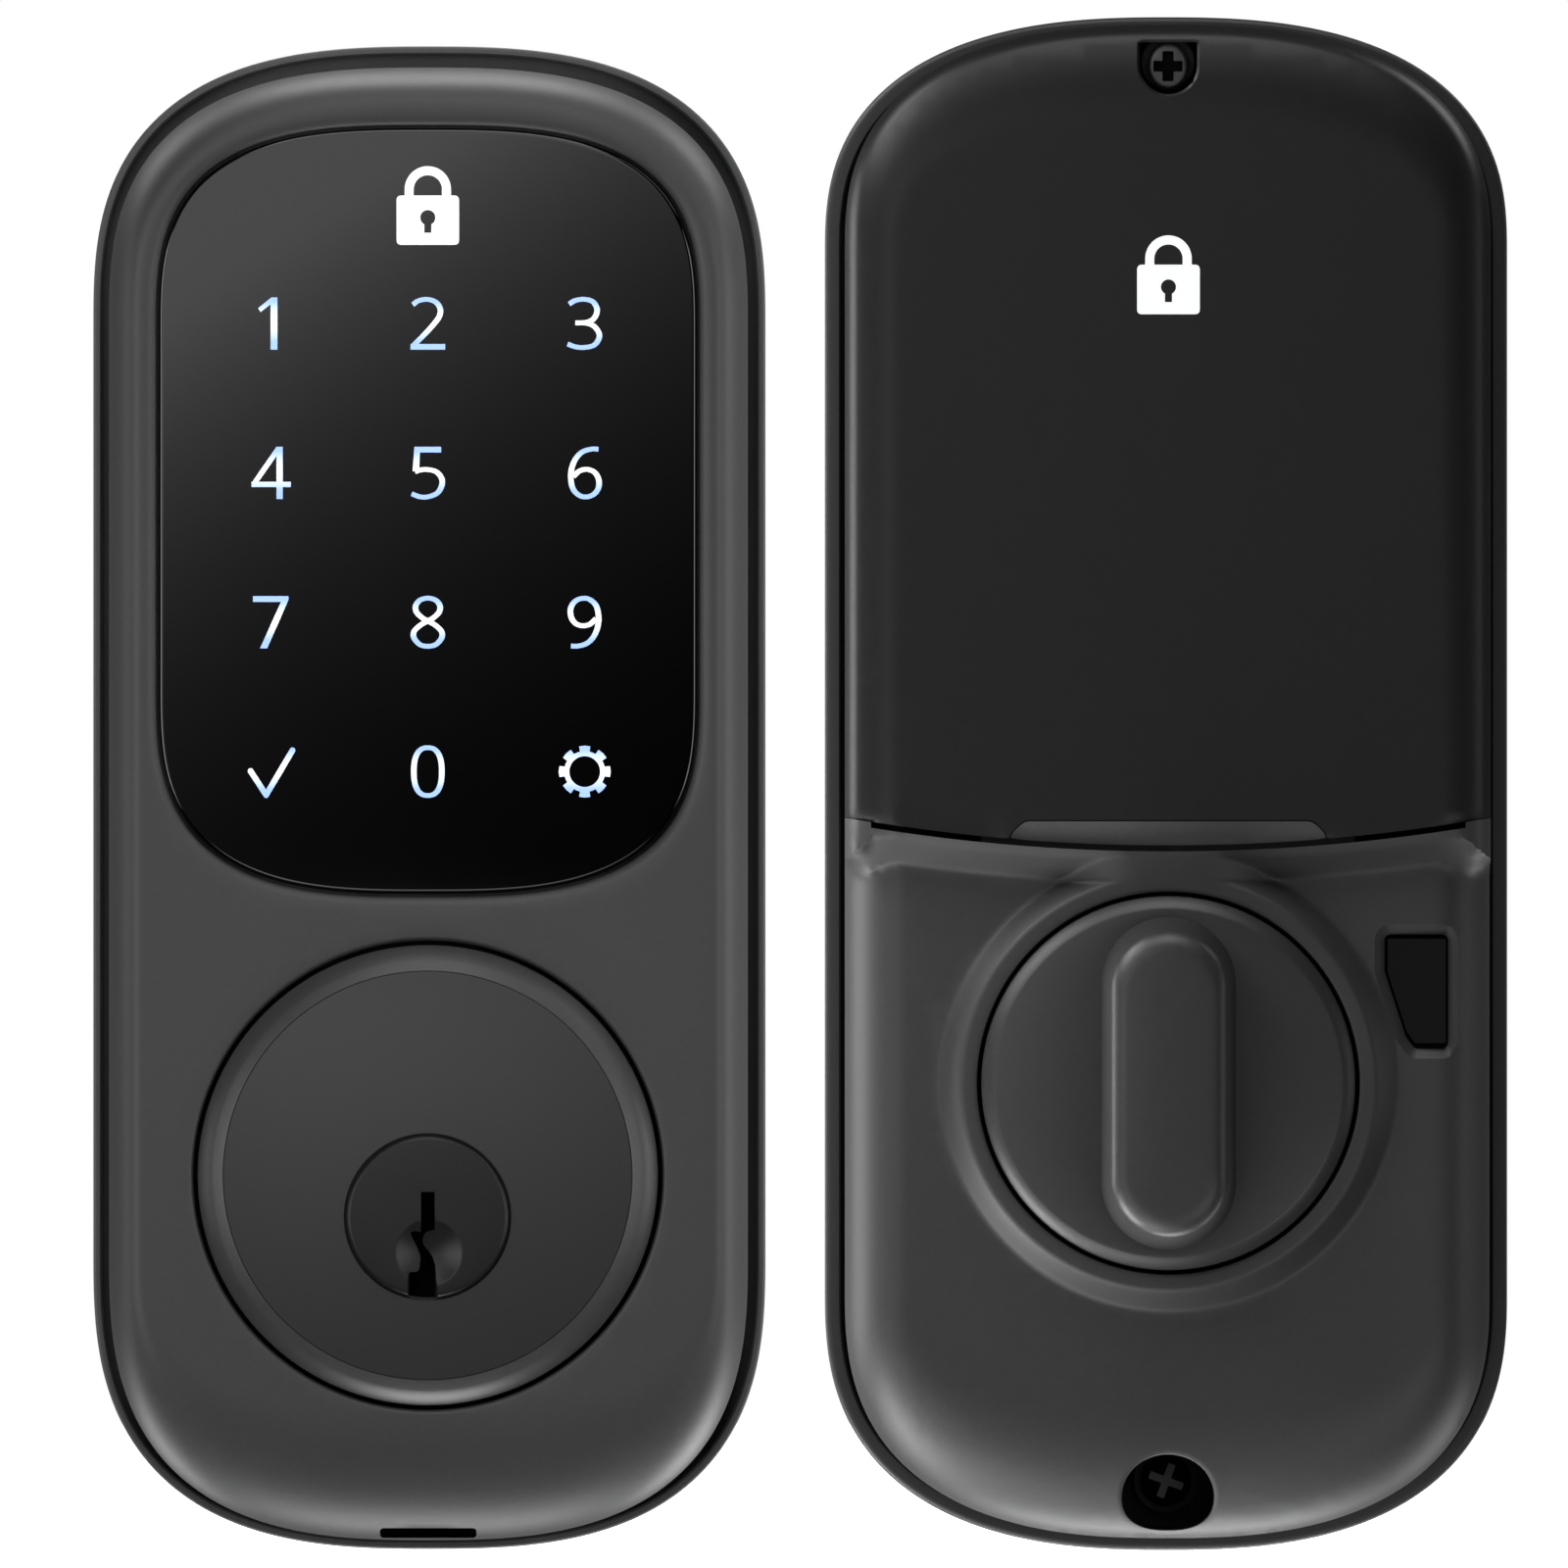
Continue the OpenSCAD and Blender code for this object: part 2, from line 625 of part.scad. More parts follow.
// Rounded trapezoid edge of the finger notch and the seam between cover and housing
module above_seam(extra) { translate([0, seam_mid, -5]) cylinder(r = seam_r + extra, h = 60, $fn = 200); }
module interior_housing() {
  color("#3b3c40") on_interior() difference() {
    union() {
      difference() {
        case_form();
        above_seam(seam_gap);
        // sloping band under the seam down to the flat face
        difference() {
          translate([-50, -90, face_z]) cube([100, 100, 20]);
          translate([0, seam_mid, face_z - eps])
            cylinder(r1 = seam_r + 3.7, r2 = seam_r + 0.9, h = int_depth - face_z, $fn = 200);
        }
        slab(0, face_inside) difference() {
          case_plan(case_wall, case_wall, 5);
          translate([-40, -9]) square([80, 100]);
        }
      }
      // shelf that backs the finger notch
      translate([-19, -9.5, shelf_back]) cube([38, 12, shelf_front - shelf_back]);
      translate([0, turn_y, 0]) rotate_extrude($fn = 96)
        polygon([[neck_r - 1, face_inside], [collar_foot_r, face_inside],
          [collar_foot_r, face_z], [collar_flat_r, collar_z], [neck_r - 1, collar_z]]);
      at_each(housing_boss) slab(base_floor + 0.2, face_inside + 1) circle(2.8);
    }
    // well and bearing of the thumbturn
    translate([0, turn_y, well_z]) cylinder(r = turn_disc_r + turn_gap, h = 10, $fn = 96);
    translate([0, turn_y, 0]) cylinder(r = neck_r + 0.06, h = 40);
    slab(0, 40) polygon(button_hole);
    access_hole();
    // way in for the cable plug
    translate([-6.5, -12, 2]) cube([13, 8, 10]);
    at_each(housing_boss) cylinder(r = screw_r + 0.05, h = 16);
  }
}
module access_hole() {
  translate([0, -70.5, base_floor]) linear_extrude(40) intersection() {
    circle(4.55);
    translate([-5, -3.4]) square([10, 10]);
  }
}
module battery_cover() {
  color("#202123") on_interior() difference() {
    intersection() {
      case_form();
      above_seam(0);
      translate([-50, -20, cover_back]) cube([100, 120, 60]);
    }
    // hollow in three steps under the rounded sides: [top of the step, inset at the sides]
    for (step = [[28.2, 0], [30.6, 1.4], [int_depth - cover_skin, 3.2]])
      slab(0, step[0]) intersection() {
        case_plan(cover_skin + step[1], cover_skin, 0);
        translate([-50, -20]) square([100, 120]);
      }
    // screw notch, room for the screw post, and finger notch
    translate([0, notch_bottom + notch_w / 2, 0]) cylinder(r = notch_w / 2, h = 50);
    translate([-notch_w / 2, notch_bottom + notch_w / 2, 0])
      cube([notch_w, notch_top - notch_bottom - notch_w / 2, 50]);
    translate([-3.3, 60, 0]) cube([6.6, 14.3, 30.5]);
    slab(0, 50) polygon([[-15.7, -8], [-15.7, -5.2], [-14.1, -3.6], [14.1, -3.6], [15.7, -5.2],
      [15.7, -8]]);
    lift(int_depth - legend_depth) linear_extrude(2) padlock_flat(cover_badge_y);
  }
}
cover_badge_y = 50.3;
module cover_badge() {
  color("white") on_interior() slab(int_depth - legend_depth, int_depth)
    padlock_flat(cover_badge_y);
}

// ---------- batteries and boards ----------
function cell_x(i) = (i - 1.5) * cell_pitch;
function cell_up(i) = i % 2 == 0;
module battery_tray() {
  color("#2a2b2e") on_interior() difference() {
    union() {
      slab(tray_back, cell_z + 1)
        translate([-tray_half, tray_low]) square([2 * tray_half, tray_high - tray_low]);
      // side rails that stand on the base
      for (s = [-1, 1]) translate([s * (tray_half - 0.8) - 0.8, tray_low + 2, board_back])
        cube([1.6, 48, tray_back - board_back + 1]);
    }
    for (i = [0:3]) translate([cell_x(i), cell_foot - 5.8, cell_z]) rotate([-90, 0, 0])
      cylinder(r = cell_r + 0.2, h = cell_l + 6.5);
    for (i = [0:3]) translate([cell_x(i) - 5.6, cell_foot - 5.8, 12]) cube([11.2, cell_l + 6.5, 20]);
  }
}
// one cell: can and nub; the nub points up or down
module in_cell(i) {
  translate([cell_x(i), cell_foot, cell_z]) rotate([-90, 0, 0])
    translate([0, 0, cell_up(i) ? 0 : cell_l - cell_spring_l]) mirror([0, 0, cell_up(i) ? 0 : 1]) children();
}
module batteries() {
  color("#6f7277") on_interior() for (i = [0:3]) in_cell(i) rotate_extrude()
    polygon([[0, 0], [cell_r - 0.6, 0], [cell_r, 0.6], [cell_r, cell_l - 1.8],
      [cell_r - 0.6, cell_l - 1.2], [2.7, cell_l - 1.2], [2.7, cell_l], [0, cell_l]]);
}
module battery_springs() {
  color("#c4c7cc") on_interior() for (i = [0:3]) in_cell(i)
    coil(5, 2.6, 0.4, -cell_spring_l, -0.05, 3.5, 10, 6);
}
module battery_contacts() {
  color("#c9cbd0") on_interior() for (i = [0:3]) in_cell(i) {
    translate([-5.5, -5.5, -5.6]) cube([11, 11, 0.45]);
    translate([-4, -4, cell_l + 0.05]) cube([8, 8, 0.45]);
  }
}
module main_board() {
  color("#1f5d3a") on_interior() slab(board_back, board_back + 1.6) translate([-27.5, -3]) square([55, 60]);
}
module radio_module() {
  color("#aeb1b6") on_interior() translate([8, 34, board_back + 1.6]) cube([13, 17, 1.9]);
}
module interior_socket() {
  color("#e9e6da") on_interior() difference() {
    translate([-5.2, -9.5, 3.5]) cube([10.4, 6.3, 6.3]);
    translate([-4.2, -9.5 - eps, 4.4]) cube([8.4, 5, 4.6]);
  }
}

// ---------- gear train ----------
pressure = 20;
function spread(a) = tan(a) * 180 / PI - a;
// Half of a tooth's angle at radius r, on an involute flank
function half_tooth(teeth, r) =
  let (rp = gear_m * teeth / 2, rb = rp * cos(pressure), a = r <= rb ? 0 : acos(rb / r))
  90 / teeth + spread(pressure) - spread(a) - 0.055 / rp * 180 / PI;
function gear_points(teeth) =
  let (rp = gear_m * teeth / 2, tip = rp + 0.85 * gear_m, root = rp - 1.2 * gear_m,
    rb = rp * cos(pressure), foot = max(rb, root),
    radii = [root, foot, foot + (tip - foot) * 0.35, foot + (tip - foot) * 0.7, tip])
  [for (k = [0:teeth - 1]) let (c = 360 * k / teeth) each concat(
    [for (r = radii) let (a = c - half_tooth(teeth, r)) [r * cos(a), r * sin(a)]],
    [for (r = flip(radii)) let (a = c + half_tooth(teeth, r)) [r * cos(a), r * sin(a)]])];
module wheel(teeth, turn, z) { lift(z) linear_extrude(gear_t) rotate(turn) polygon(gear_points(teeth)); }

module drive_gear() {
  color("#d8d2c0") on_interior() translate([0, turn_y, 0]) difference() {
    union() {
      wheel(drive_teeth, idle_angle, high_gear_z);
      lift(high_gear_z - 0.8) cylinder(r = 8.2, h = 0.8 + gear_t);
    }
    lift(5) cylinder(r = hub_r + 1.02, h = 12);
    for (a = [0:60:300]) rotate([0, 0, a]) translate([9.6, 0, 5]) cylinder(r = 1.4, h = 12);
  }
}
module intermediate_gear() {
  color("#d8d2c0") on_interior() translate([idle_at[0], idle_at[1], 0]) difference() {
    union() {
      wheel(small_teeth, idle_angle + 180 + 180 / small_teeth, high_gear_z);
      wheel(big_teeth, motor_angle, low_gear_z);
      lift(low_gear_z + gear_t - eps) cylinder(r = 3, h = high_gear_z - low_gear_z - gear_t + 2 * eps);
    }
    cylinder(r = 1.04, h = 40);
  }
}
module intermediate_axle() {
  color("#b9bcc2") on_interior() translate([idle_at[0], idle_at[1], 4.2]) cylinder(r = 1, h = 12.6);
}
module motor_pinion() {
  color("#c9a24c") on_interior() translate([motor_at[0], motor_at[1], 0]) difference() {
    wheel(pinion_teeth, motor_angle + 180 + 180 / pinion_teeth, low_gear_z);
    cylinder(r = 0.77, h = 40);
  }
}
module gear_motor() {
  color("#b3b6bb") on_interior() translate([motor_at[0], motor_at[1], 0]) union() {
    lift(low_gear_z + 0.3) cylinder(r = 0.75, h = 8);
    lift(11.6) cylinder(r = 2.4, h = 1.5);
    lift(12.8) cylinder(r = 7.2, h = 13);
    lift(25.8 - eps) cylinder(r = 2.2, h = 1.2);
  }
}
module gearbox_plate() {
  color("#c0c3c8") on_interior() difference() {
    slab(board_back, 4.9) union() {
      translate([0, turn_y]) circle(13.5);
      translate([-9, -63]) square([23, 34]);
    }
    translate([0, turn_y, 0]) cylinder(r = hub_r + 1.06, h = 12);
    translate([idle_at[0], idle_at[1], 0]) cylinder(r = 1.02, h = 12);
    translate([motor_at[0], motor_at[1], 0]) cylinder(r = 1.2, h = 12);
  }
}
module gearbox_cover() {
  color("#c0c3c8") on_interior() difference() {
    slab(15.2, 16.6) union() {
      translate([0, turn_y]) circle(16);
      translate([-9, -50]) square([23, 21]);
    }
    translate([0, turn_y, 0]) cylinder(r = 8.6, h = 30);
    translate([idle_at[0], idle_at[1], 0]) cylinder(r = 1.02, h = 30);
  }
}

// ---------- thumbturn ----------
module turn_hub() {
  color("#b3b6bb") on_interior() translate([0, turn_y, 0]) difference() {
    union() {
      lift(0.3) cylinder(r = hub_r + 1, h = 15.5);
      lift(15.8 - eps) cylinder(r = hub_r, h = 8);
    }
    translate([-tail_t / 2 - 0.2, -tail_w / 2 - 0.2, 0.3 - eps])
      cube([tail_t + 0.4, tail_w + 0.4, 14]);
  }
}
module thumbturn() {
  color("#3f4044") on_interior() translate([0, turn_y, 0]) difference() {
    union() {
      rotate_extrude($fn = 96)
        polygon([[0, 16], [neck_r, 16], [neck_r, 27.4], [neck_r - 0.7, 27.4],
          [neck_r - 0.7, 28.4], [neck_r, 28.4], [neck_r, well_z + 0.4],
          [turn_disc_r, well_z + 0.4], [turn_disc_r, disc_z - 1], [17.2, disc_z], [0, disc_z]]);
      hull() {
        for (s = [-1, 1]) translate([0, s * (grip_l - grip_w) / 2, disc_z - 0.5])
          cylinder(d = grip_w, h = grip_z - disc_z - 1.5, $fn = 40);
        for (s = [-1, 1]) translate([0, s * (grip_l - grip_w) / 2, grip_z - 0.5])
          cylinder(d = grip_w - 4, h = 0.5, $fn = 40);
      }
    }
    lift(15) cylinder(r = hub_r + 0.03, h = 9);
  }
}
module thumbturn_retainer() {
  color("#9b9da2") on_interior() translate([0, turn_y, 27.5]) difference() {
    cylinder(r = 9.2, h = 0.8);
    lift(-eps) cylinder(r = neck_r - 0.65, h = 1);
    translate([-1.5, -10, -eps]) cube([3, 8, 1]);
  }
}
module position_switches() {
  color("#1b1c1e") on_interior() for (s = [-1, 1])
    translate([s * 13, turn_y, 16.8]) translate([-3, -4, 0]) union() {
      cube([6, 8, 5]);
      translate([s < 0 ? 6 - eps : -0.8 + eps, 3.2, 1.5]) cube([0.8, 1.6, 1.6]);
    }
}

// ---------- privacy button ----------
function toward(points, mid, f) = [for (p = points) mid + (p - mid) * f];
module button_plan(grow) {
  // sides move by about the same distance on this small outline
  f = 1 + grow / 4;
  polygon(toward(button_hole, button_mid, f));
}
module privacy_button() {
  color("#0f1012") on_interior() union() {
    slab(27.5, button_front) button_plan(-0.35);
    slab(27, 28.2) button_plan(0.45);
    translate([button_mid[0], button_mid[1], 20.4]) cylinder(r = 1.5, h = 6.8);
  }
}
module button_spring() {
  color("#c4c7cc") on_interior() translate([button_mid[0], button_mid[1], 0])
    coil(2.2, 2.2, 0.25, 18.45, 27 - button_travel - 0.2, 4, 10, 6);
}
module button_board() {
  color("#1f5d3a") on_interior() union() {
    slab(16.8, 18.4) translate([18.4, -34.5]) square([10, 21]);
    translate([button_mid[0] - 1.3, button_mid[1] - 1.3, 18.4 - eps]) cube([2.6, 2.6, 0.8]);
  }
}

exterior_gasket();
exterior_backplate();
exterior_housing();
keypad_glass();
keypad_legends();
keypad_badge();
light_guide();
touch_board();
keypad_leds();
buzzer();
exterior_socket();
cylinder_guard_ring();
cylinder_body();
key_plug();
key_pins();
driver_pins();
pin_springs();
plug_retainer();
tailpiece();
tailpiece_pin();
cylinder_screws();
backplate_screws();
mounting_posts();
mounting_plate();
interior_base();
interior_housing();
battery_cover();
cover_badge();
battery_tray();
batteries();
battery_springs();
battery_contacts();
main_board();
radio_module();
interior_socket();
gear_motor();
motor_pinion();
intermediate_gear();
intermediate_axle();
drive_gear();
turn_hub();
thumbturn();
thumbturn_retainer();
gearbox_plate();
gearbox_cover();
position_switches();
privacy_button();
button_spring();
button_board();
top_screw();
bottom_screw();
housing_screws();
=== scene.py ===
import json
import math
import bmesh
import bpy
import numpy as np
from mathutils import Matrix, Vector
from mathutils.geometry import delaunay_2d_cdt

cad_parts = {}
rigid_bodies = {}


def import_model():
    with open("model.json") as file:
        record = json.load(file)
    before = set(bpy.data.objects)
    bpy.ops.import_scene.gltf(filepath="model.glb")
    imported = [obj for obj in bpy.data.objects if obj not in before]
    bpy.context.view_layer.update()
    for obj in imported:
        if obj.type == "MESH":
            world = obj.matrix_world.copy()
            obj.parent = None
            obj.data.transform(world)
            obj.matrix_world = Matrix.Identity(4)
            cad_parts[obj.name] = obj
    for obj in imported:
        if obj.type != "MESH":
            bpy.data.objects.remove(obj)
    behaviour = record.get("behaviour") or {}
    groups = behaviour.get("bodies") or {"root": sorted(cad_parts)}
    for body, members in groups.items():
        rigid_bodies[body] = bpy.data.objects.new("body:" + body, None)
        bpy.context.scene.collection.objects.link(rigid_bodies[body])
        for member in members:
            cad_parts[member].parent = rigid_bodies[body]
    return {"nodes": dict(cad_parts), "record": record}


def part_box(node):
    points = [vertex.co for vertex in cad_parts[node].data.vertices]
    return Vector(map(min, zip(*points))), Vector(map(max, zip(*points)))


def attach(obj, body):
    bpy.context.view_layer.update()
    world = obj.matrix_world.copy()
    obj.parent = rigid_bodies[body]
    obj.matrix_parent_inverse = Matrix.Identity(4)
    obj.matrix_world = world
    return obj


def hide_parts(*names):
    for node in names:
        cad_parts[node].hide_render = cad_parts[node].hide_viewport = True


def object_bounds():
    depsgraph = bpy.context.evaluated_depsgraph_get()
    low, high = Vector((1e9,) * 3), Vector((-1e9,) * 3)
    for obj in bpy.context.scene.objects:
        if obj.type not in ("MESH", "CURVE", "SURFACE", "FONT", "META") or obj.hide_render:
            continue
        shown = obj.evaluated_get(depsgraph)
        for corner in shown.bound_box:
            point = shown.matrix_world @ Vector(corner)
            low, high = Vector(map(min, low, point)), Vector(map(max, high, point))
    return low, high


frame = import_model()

cad_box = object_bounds()
record = frame["record"]
MM = 0.001

# ---------------------------------------------------------------- places, in millimetres
# A module is drawn flat: x to the right, y up, z out of the door towards the viewer.


class Place:
    """One module's own drawing plane, set by the middle of a CAD node."""

    def __init__(self, node):
        lo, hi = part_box(node)
        self.x = (lo[0] + hi[0]) / 2 / MM
        self.y = (lo[2] + hi[2]) / 2 / MM

    def world(self, p):
        return ((self.x + p[0]) * MM, -p[2] * MM, (self.y + p[1]) * MM)

    def span(self, node):
        """A node's box on this plane: (x0, x1), (y0, y1), (z0, z1)."""
        lo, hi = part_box(node)
        return (
            (lo[0] / MM - self.x, hi[0] / MM - self.x),
            (lo[2] / MM - self.y, hi[2] / MM - self.y),
            (-hi[1] / MM, -lo[1] / MM),
        )

    def middle(self, node):
        spans = self.span(node)
        return np.array([(spans[0][0] + spans[0][1]) / 2, (spans[1][0] + spans[1][1]) / 2])


EXT = Place("exterior_backplate")
INT = Place("interior_base")

# ---------------------------------------------------------------- outlines


def bend(half, rise, power, steps=160):
    """A quarter of a superellipse."""
    t = np.linspace(0, math.pi / 2, steps)
    return half * np.cos(t) ** (2 / power), rise * np.sin(t) ** (2 / power)


def polar(r, a):
    return np.column_stack([r * np.cos(a), r * np.sin(a)])


def around(mid, r, count=144):
    """A circle of count points."""
    a = np.linspace(0, 2 * math.pi, count, endpoint=False)
    return np.column_stack([mid[0] + r * np.cos(a), mid[1] + r * np.sin(a)])


def circle(mid, r, step=0.6):
    """A circle with its points a step apart."""
    return around(mid, r, max(32, int(2 * math.pi * r / step)))


def box_of(x0, x1, y0, y1):
    return np.array([(x0, y0), (x1, y0), (x1, y1), (x0, y1)], float)


def round_length(loop):
    return float(np.sum(np.hypot(*(np.roll(loop, -1, axis=0) - loop).T)))


def recount(loop, count):
    """A closed loop with its points spread evenly, count of them."""
    return resample(loop, round_length(loop) / count)


def resample(points, step, closed=True):
    """Evenly spaced points round a closed loop, or along an open line from end to end."""
    line = np.vstack([points, points[:1]]) if closed else points
    run = np.concatenate([[0], np.cumsum(np.hypot(*np.diff(line, axis=0).T))])
    count = int(round(run[-1] / step))
    count = max(12, count) if closed else max(4, count + 1)
    at = np.linspace(0, run[-1], count, endpoint=not closed)
    return np.column_stack([np.interp(at, run, line[:, i]) for i in (0, 1)])


class Plan:
    """Straight sides with a superellipse head and foot, and the family of its insets."""

    def __init__(self, half, top, bottom, top_rise, bottom_rise, power):
        self.size = (half, top, bottom, top_rise, bottom_rise, power)

    def inset(self, side, top=None, bottom=None):
        top = side if top is None else top
        bottom = side if bottom is None else bottom
        h, t, b, tr, br, p = self.size
        return Plan(h - side, t - top, b - bottom, tr - top, br - bottom, p)

    def loop(self, step=0.9):
        h, t, b, tr, br, p = self.size
        x, y = bend(h, tr, p)
        u, v = bend(h, br, p)
        head = np.column_stack([np.concatenate([x, -x[-2::-1]]), np.concatenate([y, y[-2::-1]]) + t - tr])
        foot = np.column_stack([np.concatenate([-u, u[-2::-1]]), -np.concatenate([v, v[-2::-1]]) - b + br])
        return resample(np.vstack([head, foot]), step)


SHARE_ROUNDS = 26


def share(plan, xy, side, top, bottom):
    """How far in a point lies, from 0 on the outline to 1 on the outline inset by side, top and bottom."""
    low = np.zeros(len(xy))
    high = np.ones(len(xy))
    h, t, b, tr, br, p = plan.size
    for _ in range(SHARE_ROUNDS):
        u = (low + high) / 2
        x = np.abs(xy[:, 0]) / (h - u * side)
        up = np.maximum(0, xy[:, 1] - (t - tr)) / (tr - u * top)
        down = np.maximum(0, -xy[:, 1] - (b - br)) / (br - u * bottom)
        outside = x**p + np.maximum(up, down) ** p > 1
        high = np.where(outside, u, high)
        low = np.where(outside, low, u)
    return (low + high) / 2


def round_corners(corners, radius, steps=6):
    """A polygon with its corners turned into arcs; corners run clockwise or anticlockwise."""
    pts = [np.array(c, float) for c in corners]
    out = []
    for i, c in enumerate(pts):
        a, b = pts[i - 1] - c, pts[(i + 1) % len(pts)] - c
        shorter = min(np.hypot(*a), np.hypot(*b))
        a, b = a / np.hypot(*a), b / np.hypot(*b)
        half = math.acos(max(-1, min(1, float(a @ b)))) / 2
        reach = min(radius / math.tan(half), 0.45 * shorter)
        start, end = c + a * reach, c + b * reach
        for k in range(steps + 1):
            t = k / steps
            out.append((1 - t) ** 2 * start + 2 * t * (1 - t) * c + t * t * end)
    return np.array(out)


STADIUM_STEP = 0.2


def stadium(width, length, count):
    """Upright stadium round the origin."""
    r = width / 2
    top = polar(r, np.linspace(0, math.pi, max(10, int(math.pi * r / STADIUM_STEP)) + 1))
    top[:, 1] += length / 2 - r
    return recount(resample(np.vstack([top, -top]), STADIUM_STEP), count)


# ---------------------------------------------------------------- measures


def distance(xy, loop):
    """Distance from points to a closed loop, never negative."""
    best = np.full(len(xy), 1e9)
    ends = np.roll(loop, -1, axis=0)
    for a, b in zip(loop, ends):
        ab = b - a
        t = np.clip(((xy - a) @ ab) / max(ab @ ab, 1e-12), 0, 1)
        d = xy - a - t[:, None] * ab
        best = np.minimum(best, d[:, 0] ** 2 + d[:, 1] ** 2)
    return np.sqrt(best)


def within(xy, loop):
    """Even-odd test of points against a closed loop."""
    inside = np.zeros(len(xy), bool)
    ends = np.roll(loop, -1, axis=0)
    for a, b in zip(loop, ends):
        if a[1] == b[1]:
            continue
        cross = (a[1] > xy[:, 1]) != (b[1] > xy[:, 1])
        at = a[0] + (xy[:, 1] - a[1]) * (b[0] - a[0]) / (b[1] - a[1])
        inside ^= cross & (xy[:, 0] < at)
    return inside


def signed(xy, loop):
    """Distance to a loop, negative inside it."""
    return distance(xy, loop) * np.where(within(xy, loop), -1, 1)


def blend_max(a, b, k):
    h = np.clip(0.5 + 0.5 * (a - b) / k, 0, 1)
    return b * (1 - h) + a * h + k * h * (1 - h)


def blend_min(a, b, k):
    return -blend_max(-a, -b, k)


def quarter(u):
    """Rise of a quarter circle, from 0 at share 0 to 1 at share 1."""
    return np.sqrt(np.maximum(0, 1 - (1 - u) ** 2))


def quarter_steps(steps):
    """Shares of a quarter circle's width at which its arc needs a ring."""
    return [1 - math.cos(math.pi / 2 * k / steps) for k in range(1, steps + 1)]


def fillet(d, r):
    """How far a surface has dropped at distance d from an edge rounded with radius r."""
    near = np.clip(r - d, 0, r)
    return r - np.sqrt(np.maximum(r * r - near * near, 0))


# ---------------------------------------------------------------- mesh building

# flat band kept round the edge of a cap, and how close two points are merged
CAP_BAND = 0.12
WELD = 2e-4


def grow(loop, d):
    """A loop moved outwards by d (inwards if negative), by its own normals."""
    nxt, prv = np.roll(loop, -1, axis=0), np.roll(loop, 1, axis=0)
    t = nxt - prv
    n = np.column_stack([t[:, 1], -t[:, 0]]) / np.maximum(np.hypot(*t.T), 1e-9)[:, None]
    area = np.sum(loop[:, 0] * nxt[:, 1] - nxt[:, 0] * loop[:, 1])
    return loop + n * d * (1 if area > 0 else -1)


def outline_edges(loops):
    """Points of several lines and the edges along them; each line comes with whether it is closed."""
    coords, edges = [], []
    for line, closed in loops:
        base, n = len(coords), len(line)
        coords += [Vector((float(p[0]), float(p[1]))) for p in line]
        edges += [(base + i, base + (i + 1) % n) for i in range(n if closed else n - 1)]
    return coords, edges


def fill(outer, holes=(), guides=(), step=None):
    """Triangles of the flat region inside outer and outside the holes; guides are lines to keep as edges."""
    coords, edges = outline_edges([(outer, True)] + [(h, True) for h in holes] + list(guides))
    if step:
        lo, hi = outer.min(axis=0), outer.max(axis=0)
        rows = np.arange(lo[1] + step / 2, hi[1], step * 0.866)
        grid = np.array([(x + (i % 2) * step / 2, y) for i, y in enumerate(rows)
                         for x in np.arange(lo[0], hi[0], step)])
        grid = grid[within(grid, outer)]
        for line in [outer] + list(holes) + [g for g, _ in guides]:
            grid = grid[distance(grid, line) > step * 0.4]
        coords += [Vector((float(p[0]), float(p[1]))) for p in grid]
    verts, _, faces, _, _, _ = delaunay_2d_cdt(coords, edges, [], 0, 1e-6)
    xy = np.array([(v.x, v.y) for v in verts])
    tri = np.array([f for f in faces if len(f) == 3])
    mid = xy[tri].mean(axis=1)
    keep = within(mid, outer)
    for h in holes:
        keep &= ~within(mid, h)
    return xy, tri[keep]


